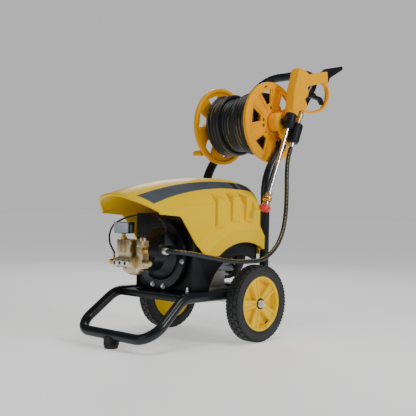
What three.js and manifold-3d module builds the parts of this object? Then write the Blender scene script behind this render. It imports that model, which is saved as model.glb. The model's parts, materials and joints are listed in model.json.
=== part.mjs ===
// Electric cold-water pressure washer on two wheels: tube chassis, motor and brass pump under a
// moulded hood, a leaning push handle that carries a hose reel, and a spray gun hung beside it.
// Millimetres, +Z up, front of the machine towards -Y, the gun side is +X.
import * as THREE from "three";
import { mergeVertices } from "three/addons/utils/BufferGeometryUtils.js";
import Module from "manifold-3d";

const wasm = await Module();
wasm.setup();
const { Manifold, Mesh: SolidMesh } = wasm;

// ---------------------------------------------------------------- driving dimensions
const GAP = 0.3;                 // clearance between neighbouring pieces
const FOOTPRINT_MID_Y = 4.5;     // middle of the length, measured from the axle
const TUBE_R = 16;               // 32 mm round steel tube of chassis and handle
const CHASSIS_Z = 156;           // centre height of the side tubes
const CHASSIS_HALF = 160;        // side tube centres at the rear
const CHASSIS_FRONT_HALF = 180;  // side tube centres at the front corners
const CROSSBAR_Y = -437;         // front crossbar
const CROSSBAR_Z = 41;
const REAR_Y = 140;              // rear ends of the side tubes
const POST_X = 145;              // handle posts
const POST_Y = 114;
const HANDLE_TOP_Y = 420;
const HANDLE_TOP_Z = 957;
const BEND_Z = 552;              // where the upright and leaning parts of a post would meet
const WHEEL_R = 127;             // ten-inch wheel
const WHEEL_X = 210.5;           // middle of the tyre
const TYRE_HALF = 26.5;
const RIM_R = 90;
const AXLE_R = 10;
const MOTOR_Z = 284;             // motor and pump centre line
const CRANKCASE_X = -22;
const CRANKCASE_FRONT = -347;
const UNLOADER_X = 52;
const UNLOADER_Y = -362;
const OUTLET_Y = -361;           // hose outlet at the side of the pump
const OUTLET_Z = 304;
const HOOD_HALF = 142;
const HOOD_WALL = 5;
const HOOD_FLOOR = 284;          // lowest edge of the hood sides
const HOOD_FRONT = -470;
const HOOD_BACK = 140;           // ends of the uncut hood block
const HOOD_SIDE_BACK = 92;       // where the side walls end
const HOOD_REAR_WALL = 121;
const REEL_Y = 168;
const REEL_Z = 745;
const FLANGE_R = 142;
const FLANGE_X = 121;            // inner face of a reel flange
const GUN_X = 200;
const LANCE_TOP = [GUN_X, 161, 720];
const LANCE_TIP = [GUN_X, 67, 492];
const HOSE_R = 7.5;

// ---------------------------------------------------------------- materials
const COLOURS = {
  yellow: [0xf7c60a, 0.35, 0.0],
  amber: [0xf6ad0c, 0.4, 0.0],
  black_steel: [0x15171a, 0.35, 0.4],
  black_plastic: [0x17181b, 0.5, 0.0],
  rubber: [0x1b1c1e, 0.8, 0.0],
  hose_rubber: [0x16181c, 0.55, 0.0],
  brass: [0xb8a06a, 0.4, 0.9],
  gold_brass: [0xd49a35, 0.3, 0.9],
  steel: [0xc3c6c9, 0.3, 1.0],
  chrome: [0xd8dde2, 0.12, 1.0],
  aluminium: [0xa9adb0, 0.5, 0.8],
  glass: [0xdfe8ea, 0.08, 0.0],
  red: [0xd3261f, 0.45, 0.0],
};

const root = new THREE.Group();
root.name = "pressure_washer";
root.position.y = -FOOTPRINT_MID_Y;

function group(name) {
  const made = new THREE.Group();
  made.name = name;
  root.add(made);
  return made;
}

function add(parent, name, shape, colour) {
  const geometry = shape.isBufferGeometry ? shape : fromSolid(shape);
  const [hex, roughness, metalness] = COLOURS[colour];
  const material = new THREE.MeshStandardMaterial({ color: hex, roughness, metalness });
  material.name = name;
  const mesh = new THREE.Mesh(geometry, material);
  mesh.name = name;
  parent.add(mesh);
}

// ---------------------------------------------------------------- solids
function toSolid(geometry) {
  const bare = new THREE.BufferGeometry();
  bare.setAttribute("position", geometry.getAttribute("position").clone());
  if (geometry.index) bare.setIndex(geometry.index.clone());
  const merged = mergeVertices(bare, 1e-3);
  const index = merged.index.array;
  const kept = [];
  for (let i = 0; i < index.length; i += 3) {
    const [a, b, c] = [index[i], index[i + 1], index[i + 2]];
    if (a !== b && b !== c && c !== a) kept.push(a, b, c);
  }
  const position = merged.getAttribute("position").array;
  if (enclosed(position, kept) < 0) kept.reverse();
  return new Manifold(new SolidMesh({
    numProp: 3,
    vertProperties: new Float32Array(position),
    triVerts: new Uint32Array(kept),
  }));
}

// Six times the signed volume: negative when the faces point inwards.
function enclosed(position, index) {
  const corner = (i) => new THREE.Vector3().fromArray(position, 3 * index[i]);
  let sum = 0;
  for (let i = 0; i < index.length; i += 3) {
    sum += corner(i).dot(corner(i + 1).cross(corner(i + 2)));
  }
  return sum;
}

function fromSolid(solid) {
  const mesh = solid.getMesh();
  const geometry = new THREE.BufferGeometry();
  geometry.setAttribute("position", new THREE.BufferAttribute(mesh.vertProperties, 3));
  geometry.setIndex(new THREE.BufferAttribute(mesh.triVerts, 1));
  geometry.computeVertexNormals();
  return geometry;
}

function union(...shapes) {
  return shapes.map(asSolid).reduce((a, b) => a.add(b));
}

function cut(shape, ...tools) {
  return tools.map(asSolid).reduce((a, b) => a.subtract(b), asSolid(shape));
}

function common(a, b) {
  return asSolid(a).intersect(asSolid(b));
}

function asSolid(shape) {
  return shape.isBufferGeometry ? toSolid(shape) : shape;
}

// Box between two opposite corners.
function box(low, high) {
  const size = high.map((v, i) => v - low[i]);
  const middle = high.map((v, i) => (v + low[i]) / 2);
  return new THREE.BoxGeometry(...size).translate(...middle);
}

// Body of revolution: profile of [radius, distance along the axis] from `at` in direction `along`.
function turned(profile, at, along, sides = 24) {
  const points = profile.map(([r, h]) => new THREE.Vector2(r, h));
  const geometry = new THREE.LatheGeometry(points, sides);
  const turn = new THREE.Quaternion().setFromUnitVectors(
    new THREE.Vector3(0, 1, 0), new THREE.Vector3(...along).normalize());
  return geometry.applyQuaternion(turn).translate(...at);
}

// Solid cylinder or cone.
function rod(r0, r1, length, at, along, sides = 24) {
  return turned([[0, 0], [r0, 0], [r1, length], [0, length]], at, along, sides);
}

// Ring with a straight bore.
function ring(inner, outer, from, to, at, along, sides = 24) {
  return turned([[inner, from], [outer, from], [outer, to], [inner, to], [inner, from]],
    at, along, sides);
}

// Flat outline in the Y-Z plane, from x0 to x1.
function sidePlate(outline, x0, x1, holes = []) {
  const shape = new THREE.Shape(outline.map(([y, z]) => new THREE.Vector2(y, z)));
  shape.holes = holes.map((hole) => new THREE.Path(hole.map(([y, z]) => new THREE.Vector2(y, z))));
  const geometry = new THREE.ExtrudeGeometry(shape, { depth: x1 - x0, bevelEnabled: false });
  const frame = new THREE.Matrix4().makeBasis(
    new THREE.Vector3(0, 1, 0), new THREE.Vector3(0, 0, 1), new THREE.Vector3(1, 0, 0));
  return geometry.applyMatrix4(frame).translate(x0, 0, 0);
}

// Flat outline in the X-Z plane, from y0 to y1.
function frontPlate(outline, y0, y1) {
  const shape = new THREE.Shape(outline.map(([x, z]) => new THREE.Vector2(x, z)));
  const geometry = new THREE.ExtrudeGeometry(shape, { depth: y1 - y0, bevelEnabled: false });
  return geometry.rotateX(Math.PI / 2).translate(0, y1, 0);
}

// Flat outline in the X-Y plane, from z0 to z1.
function floorPlate(outline, z0, z1) {
  const shape = new THREE.Shape(outline.map(([x, y]) => new THREE.Vector2(x, y)));
  const geometry = new THREE.ExtrudeGeometry(shape, { depth: z1 - z0, bevelEnabled: false });
  return geometry.translate(0, 0, z0);
}

// A path through given points, one cross-section at each.
class BentPath extends THREE.Curve {
  constructor(points) {
    super();
    this.points = points;
  }
  at(t) {
    return Math.round(t * (this.points.length - 1));
  }
  getPoint(t) {
    return this.points[this.at(t)].clone();
  }
  getPointAt(t) {
    return this.getPoint(t);
  }
  getTangentAt(t, target = new THREE.Vector3()) {
    const i = this.at(t);
    const before = this.points[Math.max(i - 1, 0)];
    const after = this.points[Math.min(i + 1, this.points.length - 1)];
    return target.copy(after).sub(before).normalize();
  }
  getSpacedPoints() {
    return this.points;
  }
}

// Straight runs between corners, each inner corner rounded with its own radius.
function rounded(corners, radii, step = 0.26) {
  const at = corners.map((c) => new THREE.Vector3(...c));
  const points = [at[0]];
  for (let i = 1; i < at.length - 1; i += 1) {
    const back = at[i - 1].clone().sub(at[i]).normalize();
    const on = at[i + 1].clone().sub(at[i]).normalize();
    const turn = Math.PI - back.angleTo(on);
    const reach = radii[i - 1] * Math.tan(turn / 2);
    const toCentre = back.clone().add(on).normalize();
    const centre = at[i].clone().addScaledVector(toCentre, radii[i - 1] / Math.cos(turn / 2));
    const start = at[i].clone().addScaledVector(back, reach).sub(centre);
    const axis = new THREE.Vector3().crossVectors(back, on).normalize();
    const count = Math.max(2, Math.ceil(turn / step));
    for (let k = 0; k <= count; k += 1) {
      const arm = start.clone().applyAxisAngle(axis, -(turn * k) / count);
      points.push(centre.clone().add(arm));
    }
  }
  points.push(at[at.length - 1]);
  return points;
}

function tube(points, radius, sides) {
  const circle = new THREE.Shape(ringPoints(radius, sides));
  const extrudePath = new BentPath(points);
  return new THREE.ExtrudeGeometry(circle,
    { steps: points.length - 1, bevelEnabled: false, extrudePath });
}

function ringPoints(radius, sides) {
  const points = [];
  for (let i = 0; i < sides; i += 1) {
    const a = (2 * Math.PI * i) / sides;
    points.push(new THREE.Vector2(radius * Math.cos(a), radius * Math.sin(a)));
  }
  return points;
}

// Points of an arc in any plane of two axes: centre, radius, start and end angle in degrees.
function arc(centre, radius, from, to, count) {
  const points = [];
  for (let i = 0; i <= count; i += 1) {
    const a = ((from + ((to - from) * i) / count) * Math.PI) / 180;
    points.push([centre[0] + radius * Math.cos(a), centre[1] + radius * Math.sin(a)]);
  }
  return points;
}

const X_AXIS = [1, 0, 0];
const Y_AXIS = [0, 1, 0];
const Z_AXIS = [0, 0, 1];

// ---------------------------------------------------------------- chassis
const chassis = group("chassis");
{
  const loop = rounded([
    [CHASSIS_HALF, REAR_Y, CHASSIS_Z],
    [CHASSIS_HALF + 2, -290, CHASSIS_Z],
    [CHASSIS_FRONT_HALF, CROSSBAR_Y, CROSSBAR_Z],
    [-CHASSIS_FRONT_HALF, CROSSBAR_Y, CROSSBAR_Z],
    [-CHASSIS_HALF - 2, -290, CHASSIS_Z],
    [-CHASSIS_HALF, REAR_Y, CHASSIS_Z],
  ], [90, 62, 62, 90]);
  const rearTie = box([-CHASSIS_HALF, POST_Y - 20, CHASSIS_Z - 16],
    [CHASSIS_HALF, POST_Y + 20, CHASSIS_Z + 16]);
  const frontTie = box([-CHASSIS_HALF, -284, CHASSIS_Z - 14], [CHASSIS_HALF, -250, CHASSIS_Z + 3]);
  const midTie = box([-CHASSIS_HALF, 36, CHASSIS_Z - 14], [CHASSIS_HALF, 62, CHASSIS_Z + 3]);
  const lugs = [-1, 1].map((side) => box(
    [side * 150 - 5, -24, WHEEL_R - 22], [side * 150 + 5, 24, CHASSIS_Z]));
  const welded = union(tube(loop, TUBE_R, 12), rearTie, frontTie, midTie, ...lugs);
  const axleHole = rod(AXLE_R + GAP, AXLE_R + GAP, 400, [-200, 0, WHEEL_R], X_AXIS, 20);
  add(chassis, "base_frame", cut(welded, axleHole), "black_steel");
}
add(chassis, "base_plate", box([-142, -280, CHASSIS_Z + 3 + GAP], [142, 58, CHASSIS_Z + 8]),
  "black_steel");
{
  const block = turned([[0, 0], [20, 0], [22, 3], [22, 14], [17, 22], [0, 22]],
    [0, CROSSBAR_Y, 0], Z_AXIS, 20);
  const cradle = box([-15, CROSSBAR_Y - 19, 10], [15, CROSSBAR_Y + 19, 38]);
  const bar = rod(TUBE_R + GAP, TUBE_R + GAP, 100, [-50, CROSSBAR_Y, CROSSBAR_Z], X_AXIS, 24);
  add(chassis, "front_foot", cut(union(block, cradle), bar), "rubber");
}

// ---------------------------------------------------------------- handle
const handle = group("handle");
{
  const bottom = CHASSIS_Z + 16 + GAP;
  const bar = rounded([
    [POST_X, POST_Y, bottom],
    [POST_X, POST_Y, BEND_Z],
    [POST_X, HANDLE_TOP_Y, HANDLE_TOP_Z],
    [-POST_X, HANDLE_TOP_Y, HANDLE_TOP_Z],
    [-POST_X, POST_Y, BEND_Z],
    [-POST_X, POST_Y, bottom],
  ], [180, 92, 92, 180]);
  const feet = [-1, 1].map((side) => box(
    [side * POST_X - 26, POST_Y - 20, bottom], [side * POST_X + 26, POST_Y + 20, bottom + 6]));
  add(handle, "handle_frame", union(tube(bar, TUBE_R, 12), ...feet), "black_steel");
}

// ---------------------------------------------------------------- wheels
const SPOKE_TURN = 0.34;
function wheel(side, tag) {
  const wheels = group(`wheel_${tag}`);
  const middle = [side * WHEEL_X, 0, WHEEL_R];
  const out = [side, 0, 0];
  const tyre = [
    [RIM_R + GAP, -22], [110, -TYRE_HALF], [122, -23], [WHEEL_R, -13],
    [WHEEL_R, 13], [122, 23], [110, TYRE_HALF], [RIM_R + GAP, 22], [RIM_R + GAP, -22],
  ];
  add(wheels, `tyre_${tag}`, turned(tyre, middle, out, 32), "rubber");

  const band = turned([
    [79, -20], [RIM_R, -22], [RIM_R, 22], [80, 20], [77, 0], [79, -20],
  ], middle, out, 32);
  const hub = rod(24, 24, 37, [side * (WHEEL_X - 20), 0, WHEEL_R], out, 16);
  const spokes = [];
  for (let i = 0; i < 5; i += 1) {
    const spoke = sidePlate([[-12, 16], [12, 16], [21, 79], [-21, 79]], -4, 12);
    spoke.rotateX((2 * Math.PI * i) / 5 + SPOKE_TURN);
    spokes.push(spoke.translate(side * WHEEL_X - (side < 0 ? 8 : 0), 0, WHEEL_R));
  }
  const bore = rod(AXLE_R + GAP, AXLE_R + GAP, 80, [side * WHEEL_X - 40, 0, WHEEL_R], X_AXIS, 20);
  const web = ring(20, 80, -12, -2, middle, out, 32);
  add(wheels, `rim_${tag}`, cut(union(band, web, hub, ...spokes), bore), "yellow");
}
wheel(1, "right");
wheel(-1, "left");

const running = group("axle_set");
{
  const THREAD_R = 6;
  const shoulder = WHEEL_X + 17.5;
  const end = WHEEL_X + 36;
  const axle = turned([
    [0, -end], [THREAD_R, -end], [THREAD_R, -shoulder], [AXLE_R, -shoulder],
    [AXLE_R, shoulder], [THREAD_R, shoulder], [THREAD_R, end], [0, end],
  ], [0, 0, WHEEL_R], X_AXIS, 20);
  add(running, "axle", axle, "steel");
  for (const [side, tag] of [[1, "right"], [-1, "left"]]) {
    const at = [side * (shoulder + GAP), 0, WHEEL_R];
    const out = [side, 0, 0];
    const washer = rod(13, 13, 2.5, at, out, 24);
    const nut = rod(11, 10.5, 13, at, out, 6);
    const thread = rod(THREAD_R + GAP, THREAD_R + GAP, 40, [side * shoulder, 0, WHEEL_R], out, 20);
    add(running, `axle_nut_${tag}`, cut(union(washer, nut), thread), "steel");
  }
}

// ---------------------------------------------------------------- motor
const motor = group("motor");
const MOTOR_FRONT = -226;
const MOTOR_BACK = 30;
const SHAFT_R = 9;
{
  const bell = turned([
    [SHAFT_R + 1, -82.5], [50, -82.5], [54, -42], [64, -36], [80, -26], [84, -21], [84, -14],
    [112, -14], [112, 0], [SHAFT_R + 1, 0], [SHAFT_R + 1, -82.5],
  ], [0, MOTOR_FRONT, MOTOR_Z], Y_AXIS, 28);
  const terminals = box([34, -292, MOTOR_Z + 32], [76, -244, MOTOR_Z + 68]);
  add(motor, "motor_flange", union(bell, terminals), "black_steel");

  const FINS = 20;
  const outline = [];
  for (let i = 0; i < FINS; i += 1) {
    const a = (2 * Math.PI * i) / FINS;
    const half = Math.PI / FINS;
    for (const [r, shift] of [[82, -0.9], [95, -0.35], [95, 0.35], [82, 0.9]]) {
      outline.push([r * Math.cos(a + shift * half), MOTOR_Z + r * Math.sin(a + shift * half)]);
    }
  }
  const body = frontPlate(outline, MOTOR_FRONT + GAP, MOTOR_BACK);
  const feet = [-1, 1].map((side) => box(
    [side * 62 - 14, -190, CHASSIS_Z + 8 + GAP], [side * 62 + 14, -10, MOTOR_Z - 50]));
  const pads = [-1, 1].map((side) => box(
    [side * 76 - 30, -190, CHASSIS_Z + 8 + GAP], [side * 76 + 30, -10, CHASSIS_Z + 16]));
  const bore = rod(SHAFT_R + 1, SHAFT_R + 1, 300, [0, MOTOR_FRONT - 10, MOTOR_Z], Y_AXIS, 20);
  add(motor, "motor_housing", cut(union(body, ...feet, ...pads), bore), "aluminium");

  add(motor, "motor_shaft", rod(SHAFT_R, SHAFT_R, 330, [0, -262, MOTOR_Z], Y_AXIS, 20), "steel");

  const fanAt = [0, MOTOR_BACK + 14, MOTOR_Z];
  const hub = ring(SHAFT_R + GAP, 24, 0, 22, fanAt, Y_AXIS, 20);
  const blades = [];
  for (let i = 0; i < 7; i += 1) {
    const blade = box([20, 0, -2], [78, 20, 2]);
    blade.rotateY((2 * Math.PI * i) / 7).translate(...fanAt);
    blades.push(blade);
  }
  add(motor, "cooling_fan", union(hub, ...blades), "black_plastic");

  const cowl = turned([
    [92, GAP], [95, GAP], [95, 46], [84, 54], [0, 54], [0, 51], [82, 51], [92, 44],
    [92, GAP],
  ], [0, MOTOR_BACK, MOTOR_Z], Y_AXIS, 24);
  const slots = [];
  for (let i = 0; i < 8; i += 1) {
    const slot = box([34, 40, -5], [72, 70, 5]);
    slots.push(slot.rotateY((2 * Math.PI * i) / 8).translate(0, MOTOR_BACK, MOTOR_Z));
  }
  add(motor, "fan_cowl", cut(cowl, ...slots), "black_plastic");
}

// ---------------------------------------------------------------- pump
const pump = group("pump");
const HEAD_FRONT = -402;
const CAP_Z = 262;
{
  const middle = [CRANKCASE_X, 0, MOTOR_Z - 18];
  const front = CRANKCASE_FRONT;
  const body = turned([
    [0, front], [40, front], [46, front + 5], [48, front + 13], [48, -320], [42, -308.8],
    [0, -308.8],
  ], middle, Y_AXIS, 24);
  const lobes = [];
  for (let i = 0; i < 4; i += 1) {
    const lobe = rod(10, 10, 30, [40, front + 2, 0], Y_AXIS, 10);
    lobe.rotateY(Math.PI / 4 + (Math.PI * i) / 2).translate(...middle);
    lobes.push(lobe);
  }
  add(pump, "pump_crankcase", union(body, ...lobes), "brass");

  const headBack = front - GAP;
  const manifold = turned([[0, -42], [13, -42], [16, -39], [16, 38.5], [0, 38.5]],
    [0, HEAD_FRONT + 17, CAP_Z], X_AXIS, 16);
  const lower = box([-40, HEAD_FRONT + 4, 250], [38, headBack, 276]);
  const neck = box([-30, HEAD_FRONT + 12, 270], [28, headBack, 296]);
  const upper = box([-36, -392, 290], [24, headBack, 334]);
  const grooves = [-16, 4].map((x) => box([x - 1.5, -400, 296], [x + 1.5, -389, 340]));
  add(pump, "pump_head", cut(union(manifold, lower, neck, upper), ...grooves), "brass");

  const caps = { left: -25, mid: 0, right: 25 };
  for (const [tag, x] of Object.entries(caps)) {
    const at = [x, HEAD_FRONT - GAP, CAP_Z];
    const flange = rod(9.5, 9.5, 4, at, [0, -1, 0], 16);
    const hex = rod(8, 7.5, 5, [x, HEAD_FRONT - GAP - 3.5, CAP_Z], [0, -1, 0], 6);
    add(pump, `valve_cap_${tag}`, union(flange, hex), "steel");
  }

  const block = box([UNLOADER_X - 13, -377, 246], [UNLOADER_X + 13, -348, 332]);
  const crown = rod(13, 13, 9, [UNLOADER_X, UNLOADER_Y, 330], Z_AXIS, 16);
  const cap = turned([[0, 0], [11, 0], [11, 20], [8, 24], [0, 24]],
    [UNLOADER_X + 12, UNLOADER_Y, CAP_Z], X_AXIS, 16);
  const seat = rod(10, 9, 6, [UNLOADER_X, UNLOADER_Y, 338], Z_AXIS, 6);
  add(pump, "unloader_body", union(block, crown, seat, cap), "brass");

  const ribs = [];
  for (let i = 0; i < 32; i += 1) {
    const a = (2 * Math.PI * i) / 32;
    const r = i % 2 ? 19 : 17.8;
    ribs.push([UNLOADER_X + r * Math.cos(a), UNLOADER_Y + r * Math.sin(a)]);
  }
  add(pump, "unloader_knob", floorPlate(ribs, 344.5, 418), "black_plastic");

  const barb = turned([
    [0, 0], [9, 0], [9, 10], [11, 10], [11, 17], [7.5, 17], [9.5, 21], [7.5, 25], [9.5, 28],
    [7, 33], [0, 33],
  ], [-42 - GAP, HEAD_FRONT + 17, CAP_Z], [-1, 0, 0], 16);
  const nipple = rod(4.5, 3.6, 16, [-57, HEAD_FRONT + 17, CAP_Z + 6], Z_AXIS, 12);
  add(pump, "inlet_fitting", union(barb, nipple), "gold_brass");

  const outletAt = [UNLOADER_X + 13 + GAP, OUTLET_Y, OUTLET_Z];
  const nippleOut = turned([
    [0, 0], [12, 0], [12, 12], [15, 12], [15, 26], [10.5, 26], [10.5, 52], [0, 52],
  ], outletAt, X_AXIS, 20);
  add(pump, "outlet_nipple", nippleOut, "gold_brass");
}

// Hand-tightened hose nut: ribbed outside, wide bore at the nipple end, narrow bore at the hose.
function handNut(at, along, length) {
  const outside = turned([
    [0, 0], [20.5, 0], [20.5, length - 4], [17, length], [0, length],
  ], at, along, 20);
  const bore = turned([[0, -2], [11, -2], [11, 26], [8, 26], [8, length + 2], [0, length + 2]],
    at, along, 20);
  return cut(outside, bore);
}

// Crimped hose end: thin stem inside the nut, wide ferrule outside it.
function hoseEnd(at, along, length) {
  return turned([[0, -14], [7.4, -14], [7.4, GAP], [10.3, GAP], [10.3, length], [0, length]],
    at, along, 20);
}
{
  const NUT_FROM = 97;
  const NUT_LENGTH = 47;
  const nutAt = [NUT_FROM, OUTLET_Y, OUTLET_Z];
  const endAt = [NUT_FROM + NUT_LENGTH, OUTLET_Y, OUTLET_Z];
  add(pump, "outlet_coupler", handNut(nutAt, X_AXIS, NUT_LENGTH), "black_plastic");
  add(pump, "outlet_ferrule", hoseEnd(endAt, X_AXIS, 19), "steel");
}

// ---------------------------------------------------------------- pressure gauge
const gauge = group("gauge");
{
  const at = [-22, -376, 334 + GAP];
  const stem = turned([[0, 0], [11, 0], [11, 8], [6, 8], [6, 17.5], [0, 17.5]], at, Z_AXIS, 6);
  add(gauge, "gauge_stem", stem, "gold_brass");
  const dish = [
    [0, 18], [28, 18], [32, 21], [32, 50], [33.5, 50], [33.5, 54], [29, 54], [29, 40],
    [0, 40],
  ];
  add(gauge, "gauge_case", turned(dish, at, Z_AXIS, 24), "chrome");
  const needle = box([-1, -8, 41.5], [1, 24, 42.7]);
  const boss = rod(4, 4, 2, [0, 0, 41.5], Z_AXIS, 12);
  const pointer = union(needle, boss).rotate([0, 0, 135]).translate(at);
  add(gauge, "gauge_pointer", pointer, "red");
  add(gauge, "gauge_lens", rod(28.6, 28.6, 2.5, [at[0], at[1], at[2] + 50], Z_AXIS, 24), "glass");
}

// ---------------------------------------------------------------- hoses
// Route points along the middle of each hose.
const MAIN_ROUTE = [
  [163.8, OUTLET_Y, OUTLET_Z], [187, -360, OUTLET_Z], [203, -341, 302], [211, -303, 297],
  [216, -245, 287], [220, -174, 275], [220, -105, 268], [220, -45, 267.5], [220, 5, 270],
  [218, 52, 286], [214, 95, 314],
  [208, 128, 349], [203, 149, 388], [200, 161, 440], [199, 164, 500], [199, 163, 560],
  [199.5, 166, 606], [200, 174.6, 637], [200, 181.2, 653],
];
const THIN_ROUTE = [
  [-57, -385, 284.9], [-58, -385, 292], [-70, -384, 304], [-88, -380, 325], [-92, -376, 353],
  [-76, -371, 380],
  [-36, -362, 400], [2, -346, 411], [36, -330, 415], [60, -316, 410], [74, -301, 392],
  [71, -284, 372], [66, -278, 360], [66, -278, 353],
];
function hose(route, radius, sides, steps) {
  const curve = new THREE.CatmullRomCurve3(route.map((p) => new THREE.Vector3(...p)));
  return tube(curve.getSpacedPoints(steps), radius, sides);
}
const hoses = group("hoses");
add(hoses, "connecting_hose", hose(MAIN_ROUTE, HOSE_R, 8, 44), "hose_rubber");
add(hoses, "thin_hose", hose(THIN_ROUTE, 3, 8, 30), "hose_rubber");

// ---------------------------------------------------------------- hood and panels
const shell = group("shell");
const HOOD_STATIONS = [
  // distance along Y, height of the crown, height of the side crease
  [-452, 470, 401], [-366, 498, 424], [-308, 511, 438], [-240, 524, 448], [-150, 535, 455],
  [-50, 541, 455], [60, 539, 443], [130, 522, 436],
];
const CROWN_POWER = 2.3;         // how square the rounded crown is
function crownPoints(half, crown, crease) {
  const points = [];
  for (const t of [-1, -0.9, -0.775, -0.63, -0.48, -0.25, 0, 0.25, 0.48, 0.63, 0.775, 0.9, 1]) {
    points.push([half * t, crease + (crown - crease) * (1 - Math.abs(t) ** CROWN_POWER)]);
  }
  return points;
}
// Closed loft through the stations: the crown, two upright sides and a flat underside.
function hoodBlock(inset, floor, front, back) {
  const sections = HOOD_STATIONS.map(([y, crown, crease], i) => {
    const half = HOOD_HALF - inset;
    const last = HOOD_STATIONS.length - 1;
    const outline = crownPoints(half, crown - inset, crease - inset * 0.6);
    outline.push([half, floor], [-half, floor]);
    const along = i === 0 ? front : i === last ? back : y;
    return outline.map(([x, z]) => [x, along, z]);
  });
  const size = sections[0].length;
  const index = [];
  for (let i = 0; i + 1 < sections.length; i += 1) {
    for (let k = 0; k < size; k += 1) {
      const next = (k + 1) % size;
      const [a, b] = [i * size + k, i * size + next];
      const [c, d] = [b + size, a + size];
      index.push(a, b, c, a, c, d);
    }
  }
  const end = (sections.length - 1) * size;
  for (let k = 1; k + 1 < size; k += 1) {
    index.push(0, k + 1, k);
    index.push(end, end + k, end + k + 1);
  }
  const geometry = new THREE.BufferGeometry();
  geometry.setAttribute("position", new THREE.Float32BufferAttribute(sections.flat(2), 3));
  geometry.setIndex(index);
  return toSolid(geometry);
}
const ARCH = [-8, 122];
const FLARE_X = 164;
// Flared band over a wheel: a cone that leaves the side wall and ends in an upright face.
function flare(inset) {
  const floor = HOOD_FLOOR - (inset ? 40 : 0);
  const bands = [-1, 1].map((side) => {
    const at = [side * (HOOD_HALF - 6), ARCH[0], ARCH[1]];
    const run = FLARE_X - HOOD_HALF + 6 - inset;
    const cone = turned([
      [0, 0], [290 - inset, 0], [246 - inset, run], [0, run],
    ], at, [side, 0, 0], 56);
    return common(cone, box([-400, -232 + inset, floor], [400, HOOD_SIDE_BACK, 420]));
  });
  return union(...bands);
}
function hoodPlan(back) {
  const side = [
    [170, HOOD_SIDE_BACK], [HOOD_HALF, HOOD_SIDE_BACK], [125, 100], [100, 108], [68, 116],
    [0, HOOD_REAR_WALL],
  ].map(([x, y]) => [x, y - back]);
  const nose = [[0, -446], [35, -444], [70, -435], [100, -414], [125, -388], [HOOD_HALF, -366],
    [170, -366]];
  const mirrored = (list) => list.map(([x, y]) => [-x, y]).reverse();
  const front = back > 0 ? [[-170, -500], [170, -500]] : [...mirrored(nose), ...nose.slice(1)];
  return floorPlate([...front, ...side, ...mirrored(side).slice(1)], 200, 600);
}
{
  // Three upright louvres on each flank: middle along Y, top and bottom of the outer face.
  const LOUVRES = [[-113, 466, 384], [-40, 476, 402], [27, 479, 404]];
  const LOUVRE_X = 152;
  const LOUVRE_HALF = 17.5;
  const louvre = (side, [y, top, bottom]) => {
    const outline = [[96, 496], [LOUVRE_X, top], [LOUVRE_X, bottom], [142, bottom - 12],
      [130, bottom - 12], [96, 440]];
    const mirrored = outline.map(([x, z]) => [side * x, z]);
    return frontPlate(side > 0 ? mirrored : mirrored.reverse(), y - LOUVRE_HALF, y + LOUVRE_HALF);
  };
  const louvres = [-1, 1].flatMap((side) => LOUVRES.map((place) => louvre(side, place)));
  const outer = common(
    union(hoodBlock(0, HOOD_FLOOR, HOOD_FRONT, HOOD_BACK), flare(0), ...louvres), hoodPlan(0));
  const inner = common(
    union(hoodBlock(HOOD_WALL, HOOD_FLOOR - 34, HOOD_FRONT, HOOD_BACK), flare(HOOD_WALL)),
    hoodPlan(HOOD_WALL));
  const lowEdge = [
    [-520, 200], [-520, 414], [-366, 414], [-288, 409], [-279, 402], [-247, 362], [-227, 336],
    [-205, 309], [-193, 286], [-184, HOOD_FLOOR], [-146, HOOD_FLOOR],
    ...arc(ARCH, 205, 128, 58, 14), [HOOD_SIDE_BACK, 300], [HOOD_SIDE_BACK, 200],
  ];
  const below = sidePlate(lowEdge, -200, 200);
  const rearMouth = box([-122, 70, 200], [122, HOOD_BACK, 332]);
  add(shell, "hood", cut(outer, inner, below, rearMouth), "yellow");

  const arch = arc([0, WHEEL_R], 154, 56, 166, 14);
  const panel = [
    [-225, 166], [-225, 338], [-200, 384], [84, 384], ...arch, [-149.5, 166],
  ].reverse();
  add(shell, "side_panel_right", sidePlate(panel, 130, 134), "black_plastic");
  add(shell, "side_panel_left", sidePlate(panel, -134, -130), "black_plastic");

  const screen = frontPlate([
    [-129, 165], [129, 165], [129, 404], [112, 418], [-112, 418], [-129, 404],
  ], MOTOR_FRONT + 8, MOTOR_FRONT + 11);
  const opening = rod(97, 97, 40, [0, MOTOR_FRONT - 10, MOTOR_Z], Y_AXIS, 40);
  add(shell, "bulkhead", cut(screen, opening), "black_plastic");
}

// ---------------------------------------------------------------- controls
const controls = group("controls");
{
  const back = HOOD_REAR_WALL + GAP;
  const casing = box([-52, back, 376], [52, back + 30, 466]);
  const well = box([-15, back + 12, 401], [15, back + 40, 443]);
  const gland = rod(11, 9, 14, [28, back + 15, 377], [0, 0, -1], 16);
  add(controls, "switch_box", cut(union(casing, gland), well), "black_plastic");
  const rocker = sidePlate([
    [back + 16, 408], [back + 30, 405.5], [back + 33, 422], [back + 35, 438.5], [back + 16, 436],
  ], -14, 14);
  add(controls, "power_switch", rocker, "red");
}

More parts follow.
